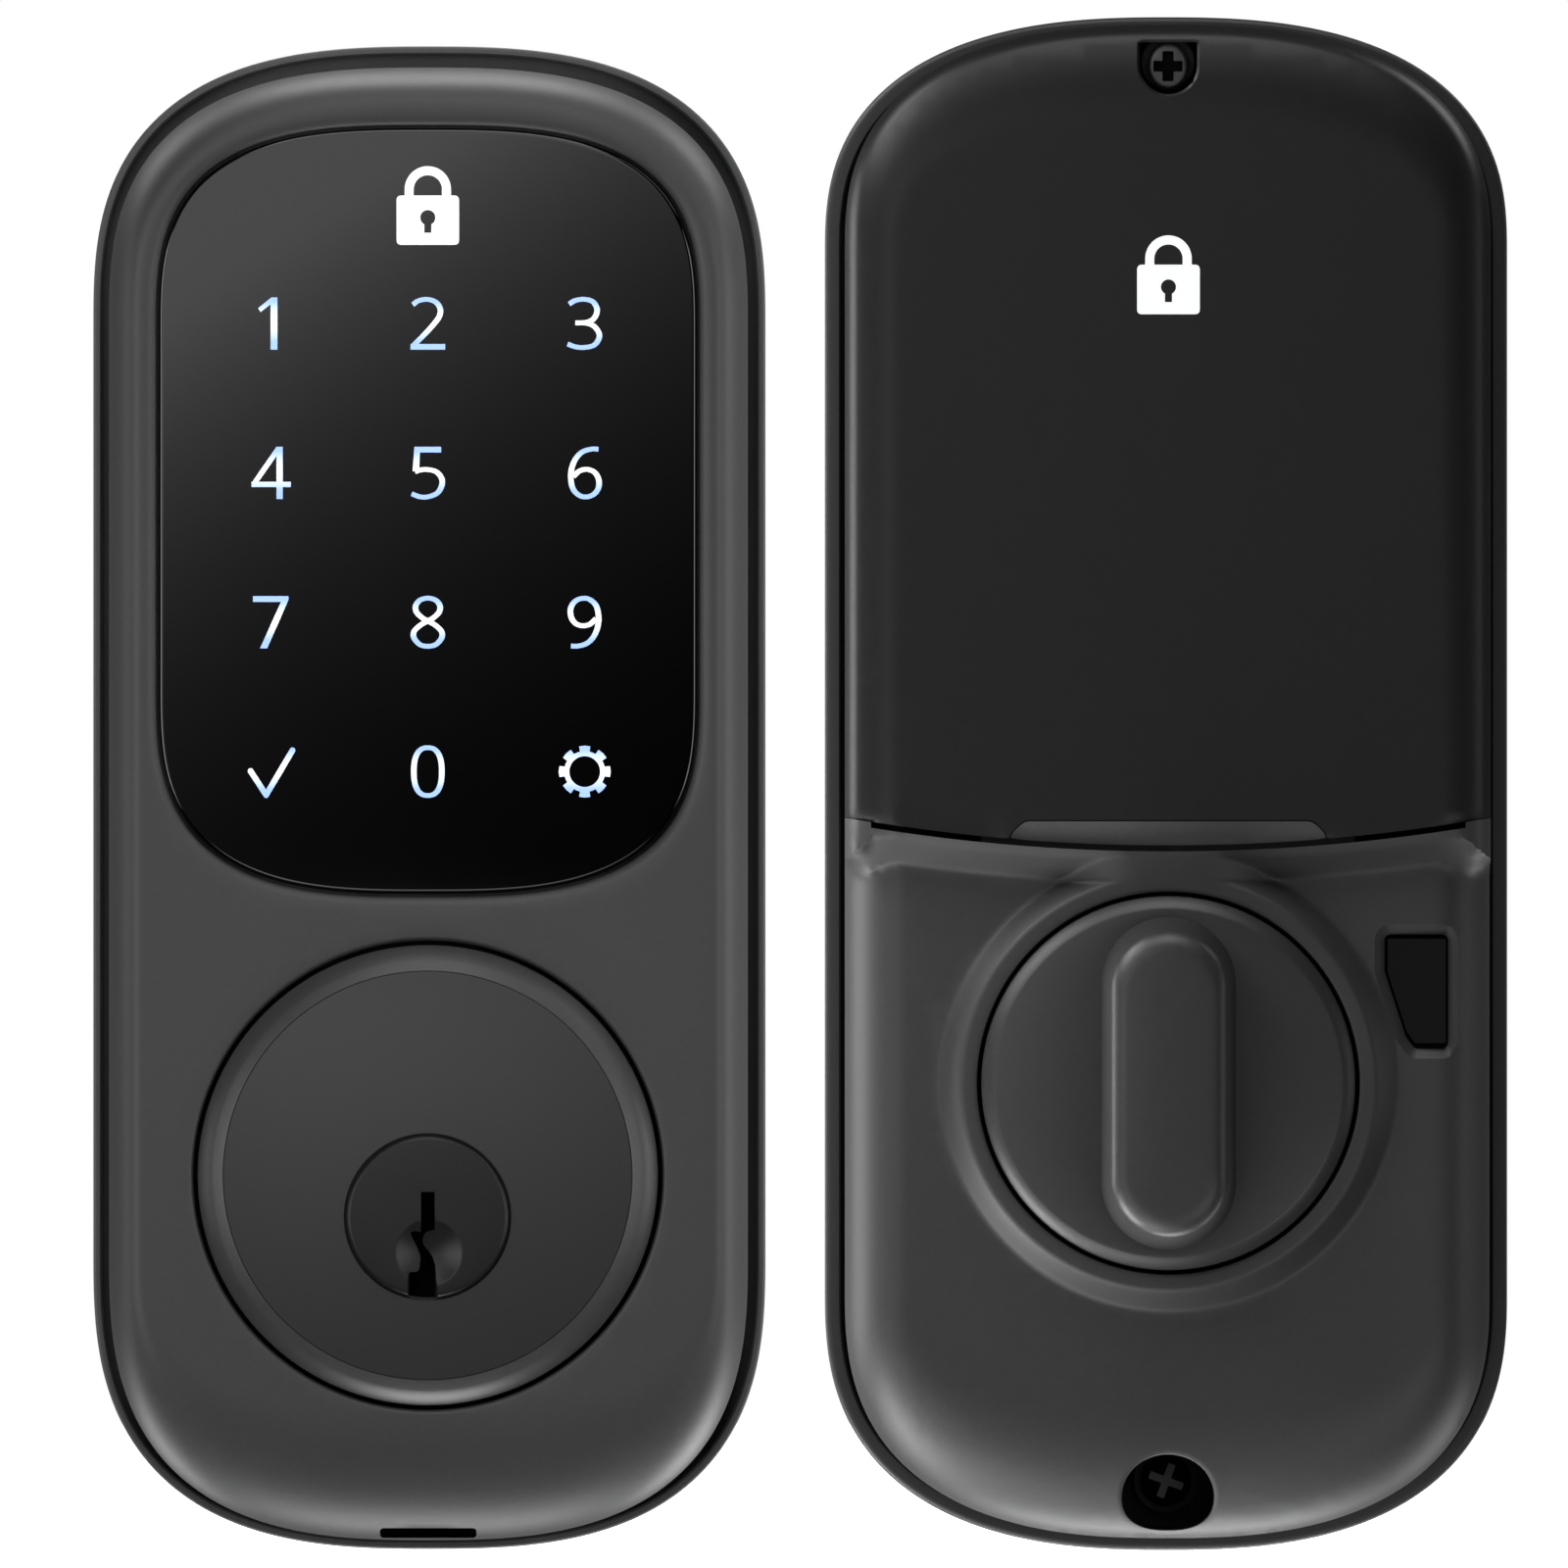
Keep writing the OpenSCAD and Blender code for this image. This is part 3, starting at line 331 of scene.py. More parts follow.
class Solid:
    """Collects vertices and faces in a module's own plane and makes one object of them."""

    def __init__(self, place):
        self.place = place
        self.verts = []
        self.faces = []
        self.slots = []
        self.slot = 0

    def add(self, verts, faces):
        base = len(self.verts)
        self.verts += [tuple(map(float, v)) for v in verts]
        self.faces += [tuple(base + int(i) for i in f) for f in faces]
        self.slots += [self.slot] * len(faces)

    def sheet(self, outer, holes, height, guides=(), step=None, front=True):
        """Triangles at a height, which is a number or a function of the points; front turns them to the viewer."""
        xy, tri = fill(outer, holes, guides, step)
        z = height(xy) if callable(height) else np.full(len(xy), float(height))
        a, b, c = xy[tri[:, 0]], xy[tri[:, 1]], xy[tri[:, 2]]
        area = (b[:, 0] - a[:, 0]) * (c[:, 1] - a[:, 1]) - (c[:, 0] - a[:, 0]) * (b[:, 1] - a[:, 1])
        turn = (area > 0) != front
        tri[turn] = tri[turn][:, ::-1]
        self.add(np.column_stack([xy, z]), tri)

    def wall(self, low, z_low, high, z_high):
        """A strip between two loops with the same number of points."""
        n = len(low)
        verts = [np.column_stack([loop, np.broadcast_to(z, n)]) for loop, z in ((low, z_low), (high, z_high))]
        self.add(np.vstack(verts), [(i, (i + 1) % n, n + (i + 1) % n, n + i) for i in range(n)])

    def tube(self, loop, z0, z1):
        self.wall(loop, z0, loop, z1)

    def rings(self, loops, cap_first=False, cap_last=False):
        """Strips through a list of (loop, z); flat caps at the ends if asked."""
        for (a, za), (b, zb) in zip(loops, loops[1:]):
            self.wall(a, za, b, zb)
        for (loop, z), wanted, front in ((loops[0], cap_first, False), (loops[-1], cap_last, True)):
            if wanted:
                self.sheet(loop, [], z, [(grow(loop, -CAP_BAND), True)], front=front)

    def make(self, name, materials, body, replaces, sharp=35):
        """One closed object from all that was added, riding on a body in place of some CAD nodes."""
        mesh = bpy.data.meshes.new(name)
        pts = [self.place.world(v) for v in self.verts]
        mesh.from_pydata(pts, [], self.faces)
        for m in materials:
            mesh.materials.append(m)
        mesh.polygons.foreach_set("material_index", self.slots)
        bm = bmesh.new()
        bm.from_mesh(mesh)
        bmesh.ops.remove_doubles(bm, verts=bm.verts, dist=WELD * MM)
        bmesh.ops.dissolve_degenerate(bm, edges=bm.edges, dist=1e-5 * MM)
        bmesh.ops.recalc_face_normals(bm, faces=bm.faces)
        if bm.calc_volume(signed=True) < 0:
            bmesh.ops.reverse_faces(bm, faces=bm.faces)
        bm.to_mesh(mesh)
        bm.free()
        mesh.shade_smooth()
        mesh.set_sharp_from_angle(angle=math.radians(sharp))
        obj = bpy.data.objects.new(name, mesh)
        bpy.context.scene.collection.objects.link(obj)
        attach(obj, body)
        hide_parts(*replaces)


# ---------------------------------------------------------------- materials


def feed(tree, node, **inputs):
    """Sets a node's inputs; a value that is a socket is linked."""
    for name, value in inputs.items():
        socket = node.inputs[int(name[1:]) if name[1:].isdigit() else name.replace("_", " ")]
        if isinstance(value, bpy.types.NodeSocket):
            tree.links.new(value, socket)
        else:
            socket.default_value = value


def new_node(tree, kind, settings=None, **inputs):
    node = tree.nodes.new("ShaderNode" + kind)
    for name, value in (settings or {}).items():
        setattr(node, name, value)
    feed(tree, node, **inputs)
    return node


def math_node(tree, operation, *numbers):
    """Result of one sum on sockets and numbers, in order."""
    inputs = {f"_{i}": number for i, number in enumerate(numbers)}
    return new_node(tree, "Math", {"operation": operation}, **inputs).outputs["Value"]


def material(name):
    m = bpy.data.materials.new(name)
    m.use_nodes = True
    tree = m.node_tree
    return m, tree, tree.nodes["Principled BSDF"]


def coordinates(tree):
    return new_node(tree, "TexCoord").outputs["Object"]


def along(tree, axis="Z"):
    """One of the coordinates by itself."""
    return new_node(tree, "SeparateXYZ", Vector=coordinates(tree)).outputs[axis]


def noise(tree, scale, detail=3.0, roughness=0.55):
    return new_node(tree, "TexNoise", Scale=scale, Detail=detail, Roughness=roughness,
                    Vector=coordinates(tree)).outputs["Fac"]


def ramp(tree, source, stops):
    r = new_node(tree, "ValToRGB", Fac=source)
    while len(r.color_ramp.elements) < len(stops):
        r.color_ramp.elements.new(0.5)
    for e, (at, colour) in zip(r.color_ramp.elements, stops):
        e.position = at
        e.color = (*colour, 1)
    return r.outputs["Color"]


def tint(colour, f):
    return tuple(c * f for c in colour)


def bump(tree, height, strength, depth):
    return new_node(tree, "Bump", Strength=strength, Distance=depth, Height=height).outputs["Normal"]


def between(tree, source, low, high):
    return new_node(tree, "MapRange", To_Min=low, To_Max=high, Value=source).outputs["Result"]


def coated(name, colour, rough, grain=1500, grain_depth=0.00004, strength=0.35, spread=0.07, metallic=0.0,
           specular=0.5):
    """Powder coat, moulded plastic or cast metal: a fine grain in colour, gloss and relief."""
    m, tree, bsdf = material(name)
    fine = noise(tree, grain, 4.0, 0.6)
    broad = noise(tree, grain / 18, 2.0)
    shade = ramp(tree, fine, [(0.3, tint(colour, 1 - spread)), (0.7, tint(colour, 1 + spread))])
    cloud = ramp(tree, broad, [(0.35, (1 - spread / 2,) * 3), (0.65, (1.0,) * 3)])
    mix = new_node(tree, "Mix", {"data_type": "RGBA", "blend_type": "MULTIPLY"}, _0=1.0, _6=shade, _7=cloud)
    feed(tree, bsdf, Base_Color=mix.outputs[2], Metallic=metallic, Specular_IOR_Level=specular,
         Roughness=between(tree, fine, rough - 0.05, rough + 0.05), Normal=bump(tree, fine, strength, grain_depth))
    return m


def metal(name, colour, rough):
    """Bare metal with fine marks in colour, gloss and relief."""
    m, tree, bsdf = material(name)
    marks = noise(tree, 900, 3.0, 0.6)
    feed(tree, bsdf, Base_Color=ramp(tree, marks, [(0.3, tint(colour, 0.86)), (0.7, colour)]), Metallic=1.0,
         Roughness=between(tree, marks, rough - 0.08, rough + 0.08), Normal=bump(tree, marks, 0.2, 0.00002))
    return m


def black_glass():
    m, tree, bsdf = material("back_printed_glass")
    haze = noise(tree, 60, 2.0)
    shade = ramp(tree, haze, [(0.3, (0.0002, 0.0002, 0.00025)), (0.7, (0.0005, 0.0005, 0.0006))])
    feed(tree, bsdf, Base_Color=shade, Roughness=between(tree, haze, 0.05, 0.07), IOR=1.5)
    return m


def lit_print(name, middle, ends, strength, row, pitch):
    """Lit print behind glass: white at the height of each row's middle, cooler towards the ends of its signs."""
    m, tree, bsdf = material(name)
    value = along(tree)
    for operation, number in (("SUBTRACT", row), ("PINGPONG", pitch / 2), ("DIVIDE", SIGN_HALF)):
        value = math_node(tree, operation, value, number)
    shade = ramp(tree, value, [(0.15, middle), (0.75, ends)])
    feed(tree, bsdf, Emission_Color=shade, Base_Color=shade, Emission_Strength=strength, Specular_IOR_Level=0.1,
         Roughness=0.5)
    return m


# Near-black painted shade: it darkens hollows, hole walls and slot floors that the lamps would otherwise light.
def painted_shade_hollow():
    m, tree, bsdf = material("painted_shade_hollow")
    shade = ramp(tree, noise(tree, 900, 2.0), [(0.3, (0.0015, 0.0015, 0.0016)), (0.7, (0.003, 0.003, 0.0032))])
    feed(tree, bsdf, Base_Color=shade, Specular_IOR_Level=0.1, Roughness=0.9)
    return m


def board():
    m, tree, bsdf = material("circuit_board")
    tracks = new_node(tree, "TexVoronoi", {"distance": "MANHATTAN"}, Scale=420, Vector=coordinates(tree))
    shade = ramp(tree, tracks.outputs["Distance"],
                 [(0.0, (0.01, 0.09, 0.035)), (0.42, (0.012, 0.11, 0.045)), (0.5, (0.03, 0.2, 0.08))])
    feed(tree, bsdf, Base_Color=shade, Roughness=0.35)
    return m


def cell_jacket():
    m, tree, bsdf = material("cell_jacket")
    shade = ramp(tree, math_node(tree, "MULTIPLY", along(tree), 12),
                 [(0.55, (0.02, 0.022, 0.025)), (0.9, (0.45, 0.24, 0.09))])
    feed(tree, bsdf, Base_Color=shade, Roughness=0.3)
    return m


# half the height of a sign on the glass in metres, the pitch of the keys across and down, and the height of the
# first row's lit middle
SIGN_HALF = 0.0026
KEY_PITCH = (15.55, 14.8)
LIT_ROW = 47.2
CHARCOAL = (0.034, 0.0342, 0.035)
POWDER = coated("powder_coat", CHARCOAL, 0.5)
# Rim plate: a lighter copy of the charcoal coat; the extra lightness is painted light on the narrow rim.
RIM_PAINTED_LIGHT = coated("rim_coat", tint(CHARCOAL, 1.9), 0.46)
DARK_RIM = coated("dark_rim_coat", tint(CHARCOAL, 0.55), 0.5)
COVER = coated("satin_cover", (0.0096, 0.0096, 0.0101), 0.42, grain=1100, grain_depth=0.00003, strength=0.3,
               specular=0.3)
DISC = coated("satin_disc", tint(CHARCOAL, 0.45), 0.3, grain_depth=0.00002, strength=0.2)
KNOB = coated("knob_satin", tint(CHARCOAL, 0.9), 0.42)
# Tongue in the finger notch: a lighter copy of the charcoal coat, painted light on the tongue.
TAB_PAINTED_LIGHT = coated("tab_painted_light", tint(CHARCOAL, 2.0), 0.45)
RING = coated("ring_coat", tint(CHARCOAL, 1.1), 0.42)
PLUG = coated("plug_satin", tint(CHARCOAL, 0.3), 0.36, strength=0.2, specular=0.25)
BUTTON = coated("button_black", (0.003, 0.003, 0.0032), 0.55, grain=1800, strength=0.15, specular=0.15)
PLASTIC = coated("black_plastic", (0.012, 0.012, 0.0125), 0.45, grain=1200, strength=0.2)
RUBBER = coated("gasket_rubber", (0.014, 0.014, 0.015), 0.75, grain=900, strength=0.5)
# painted shade for hollows, hole walls and slot floors
PAINTED_SHADE = painted_shade_hollow()
GLASS = black_glass()
LEGEND = lit_print("lit_legend", (0.9, 0.95, 1.0), (0.36, 0.53, 1.0), 0.62, (EXT.y + LIT_ROW) * MM,
                   KEY_PITCH[1] * MM)
# White print with a faint painted glow of its own.
PRINT_PAINTED_GLOW = coated("white_print_painted_glow", (0.86, 0.87, 0.88), 0.4, grain=2500, strength=0.05, spread=0.02)
feed(PRINT_PAINTED_GLOW.node_tree, PRINT_PAINTED_GLOW.node_tree.nodes["Principled BSDF"], Emission_Color=(1, 1, 1, 1), Emission_Strength=0.4)
STEEL = metal("plated_steel", (0.56, 0.57, 0.59), 0.34)
DARK_SCREW = coated("dark_screw", (0.05, 0.051, 0.054), 0.38, grain=1600, strength=0.2, metallic=0.3)
# Near-black: the head of the deep screw, and painted shade on the floor of the notch screw's cross slot.
BLACK_SCREW_AND_SLOT_SHADE = coated("black_screw_and_slot_shade", (0.002, 0.002, 0.0022), 0.6, grain=1600, strength=0.2, specular=0.1)
GREY_SCREW = coated("grey_screw", (0.16, 0.16, 0.165), 0.36, grain=1600, strength=0.2, metallic=0.4)
BRASS = metal("turned_brass", (0.78, 0.56, 0.22), 0.3)
GEAR = coated("acetal", (0.62, 0.6, 0.53), 0.4, strength=0.1)
GUIDE = coated("milky_acrylic", (0.75, 0.78, 0.82), 0.25, strength=0.05)
# The socket is cream nylon; it is coloured near-black here as painted shade where it shows through the plate's
# opening.
SOCKET_PAINTED_SHADE = coated("socket_painted_shade", (0.02, 0.02, 0.021), 0.5, strength=0.15)
FINISH = {
    "powder_coat": POWDER, "rim_coat": RIM_PAINTED_LIGHT, "satin_black": COVER, "black_glass": GLASS,
    "legend_white": PRINT_PAINTED_GLOW, "light_guide": GUIDE, "board_green": board(), "rubber_black": RUBBER,
    "steel": STEEL, "dark_steel": DARK_SCREW, "brass": BRASS, "gear_plastic": GEAR,
    "black_plastic": PLASTIC, "cell_jacket": cell_jacket(), "socket_cream": SOCKET_PAINTED_SHADE,
}
SPECIAL = {"privacy_button": BUTTON, "mounting_posts": PLASTIC, "cylinder_body": DISC, "key_plug": DISC}
SLOT_OF = {s["node"]: s["material_slot"] for s in record["subparts"]}
for node_name, obj in frame["nodes"].items():
    obj.data.materials.clear()
    obj.data.materials.append(SPECIAL.get(node_name) or FINISH[SLOT_OF[node_name]])
    for face in obj.data.polygons:
        face.material_index = 0

# ---------------------------------------------------------------- exterior module
EXT_SPAN = EXT.span("exterior_backplate")
EXT_HALF = EXT_SPAN[0][1]
EXT_UP = EXT_SPAN[1][1]
EXT_PLAN = Plan(EXT_HALF, EXT_UP, EXT_UP, 27.4, 29.2, 2.74)
SHELL_PLAN = EXT_PLAN.inset(1.75, 2.3, 1.1)
SHELL_Z = EXT.span("exterior_housing")[2]
GLASS_SPAN = EXT.span("keypad_glass")
GLASS_MID = EXT.middle("keypad_glass")
DISC_MID = EXT.middle("cylinder_guard_ring")
PLUG_MID = EXT.middle("key_plug")
# how far the roll of the edge reaches in at the sides, the top and the bottom, and where it starts
ROLL = (3.4, 4.3, 12.6)
EDGE_Z = 16.5
# width and height of the drop round the glass
LIP = (1.3, 0.8)
GLASS_GAP = 0.25
DISC_OPEN = 23.26
DISC_LIP = 0.45
WALL = 2.2
CEILING = 20.5
# drain slot in the lower edge: half width, distance from the edge, height, corner radius, depth
DRAIN = (4.8, 0.25, 1, 0.45, 4)
POST_X, POST_R = 19.0, 4.1
EXT_SCREWS = [(22, 64), (-22, 64), (20, -64), (-20, -64), (13, -27), (-13, -27)]
# height of the keypad's first row, how far print stands proud of the surface, and half the width of its strokes
KEY_TOP = 47.0
PRINT_PROUD = 0.02
PEN = (0.275, 0.23)
TICK_PEN = (0.28, 0.28)
EXT_SIGN_Y, INT_SIGN_Y = 58.7, 50.3
# outer radius of the ring, where its bevel starts and where the bevel meets the face
DISC_RING = (22.8, 21.25, 20.3)
# head radius, barrel radius and where the head starts above the back of the plug
PLUG_HEAD = (8.05, 6.38, 23.0)
# keyway outline from its left lower end over the top to its right lower end, round the plug axis
KEYWAY = [
    (-1.85, -7.9), (-1.85, -5.55), (-1.8, -5.5), (-0.95, -5.35), (-0.75, -4.6), (-0.72, -3.96), (-1.05, -3.0),
    (-1.67, -1.7), (-1.3, -1.42), (-0.7, -1.5), (-0.66, -1.3), (-0.65, 2.44), (-0.61, 2.48), (0.66, 2.48),
    (0.7, 2.44), (0.7, -1.15), (0.6, -1.3), (-0.05, -1.5), (-0.4, -1.9), (-0.42, -2.7), (0.1, -3.4), (0.5, -4.0),
    (0.74, -4.75), (0.75, -4.85), (0.75, -7.9),
]
# recess round the keyway: middle from the plug axis, radius, depth
DISH = (0.13, -3.57, 3.33, 0.8)
# points round the loops of both base plates and of the glass
RIM_COUNT, GLASS_COUNT = 440, 260


def glass_loop(grow_by, step=0.8):
    half = GLASS_SPAN[0][1] + grow_by
    up = (GLASS_SPAN[1][1] - GLASS_SPAN[1][0]) / 2 + grow_by
    return Plan(half, up, up, 20 + grow_by, 20.6 + grow_by, 3.0).loop(step) + GLASS_MID * [0, 1]


def lip_drop(d, wide, high):
    near = np.clip(1 - d / wide, 0, 1)
    return high * (1 - np.sqrt(np.maximum(1 - near * near, 0)))


def roll_guides(plan, roll, steps):
    return [(plan.inset(*(u * r for r in roll)).loop(0.9), True) for u in quarter_steps(steps)]


def close_shell(solid, outer, z_outer, z_back, inner_steps, holes, ceiling):
    """Outer wall, back edge, stepped inner wall and ceiling of a hollow housing."""
    solid.tube(outer, z_outer, z_back)
    below, z_below = outer, z_back
    for loop, z_top in inner_steps:
        solid.sheet(below, [loop], z_below, front=False)
        solid.tube(loop, z_below, z_top)
        below, z_below = loop, z_top
    solid.sheet(below, holes, ceiling, front=False)


def exterior_housing():
    outer = SHELL_PLAN.loop(0.8)
    opening = glass_loop(GLASS_GAP)
    window = glass_loop(-2.5)
    disc_hole = circle(DISC_MID, DISC_OPEN)
    half, off, high, corner, deep = DRAIN
    low = -SHELL_PLAN.size[2] + off
    drain = round_corners(box_of(-half, half, low, low + high), corner)

    def height(xy):
        z = EDGE_Z + (SHELL_Z[1] - EDGE_Z) * quarter(share(SHELL_PLAN, xy, *ROLL))
        z -= lip_drop(np.maximum(signed(xy, opening), 0), *LIP)
        return z - fillet(np.abs(signed(xy, disc_hole)), DISC_LIP)

    guides = roll_guides(SHELL_PLAN, ROLL, 14)
    guides += [(glass_loop(GLASS_GAP + LIP[0] * u), True) for u in quarter_steps(5)[:-1]]
    guides += [(circle(DISC_MID, DISC_OPEN + DISC_LIP * u), True) for u in quarter_steps(4)]
    body = Solid(EXT)
    body.sheet(outer, [opening, disc_hole, drain], height, guides, step=1.3)
    pocket = GLASS_SPAN[2][0]
    body.tube(opening, height(opening), pocket)
    body.sheet(opening, [window], pocket)
    body.tube(window, pocket, CEILING)
    body.tube(disc_hole, height(disc_hole), CEILING)
    inner = SHELL_PLAN.inset(WALL).loop(1.2)
    upper = SHELL_PLAN.inset(3.8, 3.6, 8.0).loop(1.2)
    close_shell(body, outer, height(outer), SHELL_Z[0], [(inner, 15.5), (upper, CEILING)], [window, disc_hole],
                CEILING)
    # the drain slot's walls and floor get painted shade
    body.slot = 1
    body.tube(drain, height(drain), EDGE_Z - deep)
    body.sheet(drain, [], EDGE_Z - deep)
    body.make("exterior_shell", [POWDER, PAINTED_SHADE], "lock", ["exterior_housing"])


def ring_of(plan, inset):
    return recount(plan.inset(inset).loop(0.5), RIM_COUNT)


def rim_rings(plan, wall, z_back, z_rim, z_floor, soft):
    """Rings from the back edge of a plate, over its rounded rim and down to its floor."""
    turn = np.linspace(0, math.pi / 2, 5)
    inner = 0.2
    profile = [(soft * (1 - math.sin(a)), z_back + soft * (1 - math.cos(a))) for a in turn]
    profile += [(soft * (1 - math.cos(a)), z_rim - soft * (1 - math.sin(a))) for a in turn]
    profile += [(wall - inner * math.cos(a), z_rim - inner * (1 - math.cos(a))) for a in turn[::2]]
    return [(ring_of(plan, inset), z) for inset, z in profile + [(wall, z_floor)]]


def exterior_base():
    z_back, z_rim = EXT_SPAN[2]
    z_floor = z_back + 2
    holes = [circle(PLUG_MID, 9)]
    (x0, x1), (y0, y1), _ = EXT.span("exterior_socket")
    holes += [grow(round_corners(box_of(x0, x1, y0, y1), 0.01), 0.004)]
    holes += [circle(PLUG_MID + (s * POST_X, 0), POST_R) for s in (-1, 1)]
    holes += [circle(p, 2.6, 0.5) for p in EXT_SCREWS]
    solid = Solid(EXT)
    rings = rim_rings(EXT_PLAN, 0.85, z_back, z_rim, z_floor, 0.3)
    solid.rings(rings)
    solid.sheet(rings[0][0], holes, z_back, front=False)
    solid.sheet(rings[-1][0], holes, z_floor)
    for h in holes:
        solid.tube(h, z_back, z_floor)
    solid.make("exterior_base_plate", [RIM_PAINTED_LIGHT], "lock", ["exterior_backplate"])


def keypad_glass():
    z0, z1 = GLASS_SPAN[2]
    r = 0.35
    profile = [(0.1, z0), (0, z0 + 0.1)]
    profile += [(r * (1 - math.cos(a)), z1 - r * (1 - math.sin(a))) for a in np.linspace(0, math.pi / 2, 6)]
    solid = Solid(EXT)
    loops = [(recount(glass_loop(-inset, 0.5), GLASS_COUNT), z) for inset, z in profile]
    solid.rings(loops, cap_first=True, cap_last=True)
    solid.make("touch_glass", [GLASS], "lock", ["keypad_glass"])


# ---------------------------------------------------------------- signs on the glass and the cover
def thicken(loops_filled, solid, z0, z1):
    """A thin solid from a list of (outer, holes)."""
    for outer, holes in loops_filled:
        solid.sheet(outer, holes, z1)
        solid.sheet(outer, holes, z0, front=False)
        for loop in [outer, *holes]:
            solid.tube(loop, z0, z1)


def smooth_path(points, closed=False, steps=10):
    """Catmull-Rom curve through a few points."""
    p = [np.array(q, float) for q in points]
    p = [p[-1]] + p + p[:2] if closed else [2 * p[0] - p[1]] + p + [2 * p[-1] - p[-2]]
    out = []
    for a, b, c, d in zip(p, p[1:], p[2:], p[3:]):
        for t in np.arange(steps) / steps:
            square, cube = 2 * a - 5 * b + 4 * c - d, 3 * b - a - 3 * c + d
            out.append(0.5 * (2 * b + (c - a) * t + square * t * t + cube * t**3))
    return np.array(out if closed else out + [p[-2]])


STROKE_CHUNK = 6


def ribbon(points, closed=False, pen=PEN, steps=10):
    """A drawn stroke as a row of small polygons; the pen is a little wider than it is high."""
    line = smooth_path(points, closed, steps) if len(points) > 2 else np.array(points, float)
    if closed:
        line = np.vstack([line, line[:1]])
        way = np.gradient(np.vstack([line[-2:-1], line, line[1:2]]), axis=0)[1:-1]
    else:
        way = np.gradient(line, axis=0)
    n = np.column_stack([way[:, 1], -way[:, 0]]) / np.hypot(*way.T)[:, None]
    half = np.hypot(n[:, 0] * pen[0], n[:, 1] * pen[1])[:, None]
    left, right = line - n * half, line + n * half
    parts = [slice(i, i + STROKE_CHUNK + 1) for i in range(0, len(line) - 1, STROKE_CHUNK)]
    return [np.vstack([left[part], right[part][::-1]]) for part in parts]


def union_fill(shapes):
    """Triangles covered by any of the shapes."""
    coords, edges = outline_edges([(loop, True) for loop in shapes])
    verts, _, faces, _, _, _ = delaunay_2d_cdt(coords, edges, [], 0, 1e-5)
    xy = np.array([(v.x, v.y) for v in verts])
    mid = np.array([xy[list(f)].mean(axis=0) for f in faces])
    keep = np.zeros(len(faces), bool)
    for loop in shapes:
        keep |= within(mid, loop)
    return xy, [tuple(f) for f, k in zip(faces, keep) if k]


# half the height of a digit, and the strokes and flat parts of the digits, each round its own middle
TOP = 2.585
SIX = [(1.36, 2.35), (0.7, 2.36), (-0.2, 2.1), (-0.9, 1.4), (-1.3, 0.4), (-1.37, -0.6), (-1.15, -1.6),
       (-0.55, -2.22), (0.15, -2.38), (0.9, -2.12), (1.37, -1.45), (1.37, -0.6), (0.95, 0.08), (0.25, 0.35),
       (-0.5, 0.2), (-1.12, -0.35)]
EIGHT = [(0, 2.39), (0.8, 2.17), (1.21, 1.6), (1.1, 0.98), (0.55, 0.44), (0, 0.13), (-0.75, -0.3), (-1.35, -0.9),
         (-1.37, -1.55), (-0.8, -2.2)]
STROKES = {
    2: [[(-1.49, 1.87), (-0.95, 2.25), (-0.1, 2.4), (0.75, 2.15), (1.22, 1.5), (1.15, 0.75), (0.6, -0.05),
         (-0.4, -1.15), (-1.4, -2.15)]],
    3: [[(-1.55, 1.94), (-0.95, 2.28), (-0.1, 2.41), (0.75, 2.2), (1.18, 1.6), (1.18, 1.0), (0.8, 0.4), (0.1, 0.12),
         (-0.93, 0.07)],
        [(-0.93, 0.07), (0.1, 0.05), (0.9, -0.25), (1.4, -0.9), (1.4, -1.5), (0.9, -2.15), (-0.1, -2.37),
         (-0.95, -2.3), (-1.7, -2.02)]],
    5: [[(-1.26, 0.12), (-0.7, 0.3), (0.0, 0.33), (0.85, 0.1), (1.37, -0.55), (1.37, -1.3), (0.9, -2.02),
         (0.0, -2.37), (-0.8, -2.36), (-1.6, -2.07)]],
    6: [SIX],
    9: [[(-x, -y) for x, y in SIX]],
}
FLATS = {
    1: [[(0.645, -TOP), (0.645, TOP), (0.05, TOP), (-1.27, 1.52), (-1.02, 1.14), (-0.03, 1.92),
         (-0.03, -TOP)]],
    2: [box_of(-1.71, 1.72, -TOP, -TOP + 0.56),
        [(-1.71, -TOP), (-0.9, -TOP), (-0.9, -2.05), (-1.71, -2.05)]],
    4: [box_of(0.56, 1.17, -TOP, TOP), box_of(-1.92, 1.97, -1.4, -0.88),
        [(-1.92, -1.0), (0.55, TOP), (0.9, TOP), (0.6, 1.75), (-1.25, -0.9)]],
    5: [box_of(-1.3, 1.32, 2.03, TOP),
        [(-1.33, TOP), (-0.75, TOP), (-0.88, 0.3), (-1.5, 0.15)]],
    7: [[(-1.77, TOP), (1.74, TOP), (1.74, 2.22), (-0.37, -TOP), (-1.07, -TOP), (1.0, 2.02),
         (-1.77, 2.02)]],
}


def digit(n):
    """Outlines of the parts of one digit."""
    if n == 0:
        a = np.linspace(0, 2 * math.pi, 32, endpoint=False)
        ring = np.column_stack([half * np.sign(f(a)) * np.abs(f(a)) ** 0.82
                                for half, f in ((1.385, np.cos), (2.37, np.sin))])
        return ribbon(ring, True, steps=3)
    if n == 8:
        return ribbon(EIGHT + [(0, -2.38)] + [(-x, y) for x, y in EIGHT[:0:-1]], True)
    drawn = [part for stroke in STROKES.get(n, []) for part in ribbon(stroke)]
    return drawn + [np.array(flat) for flat in FLATS.get(n, [])]


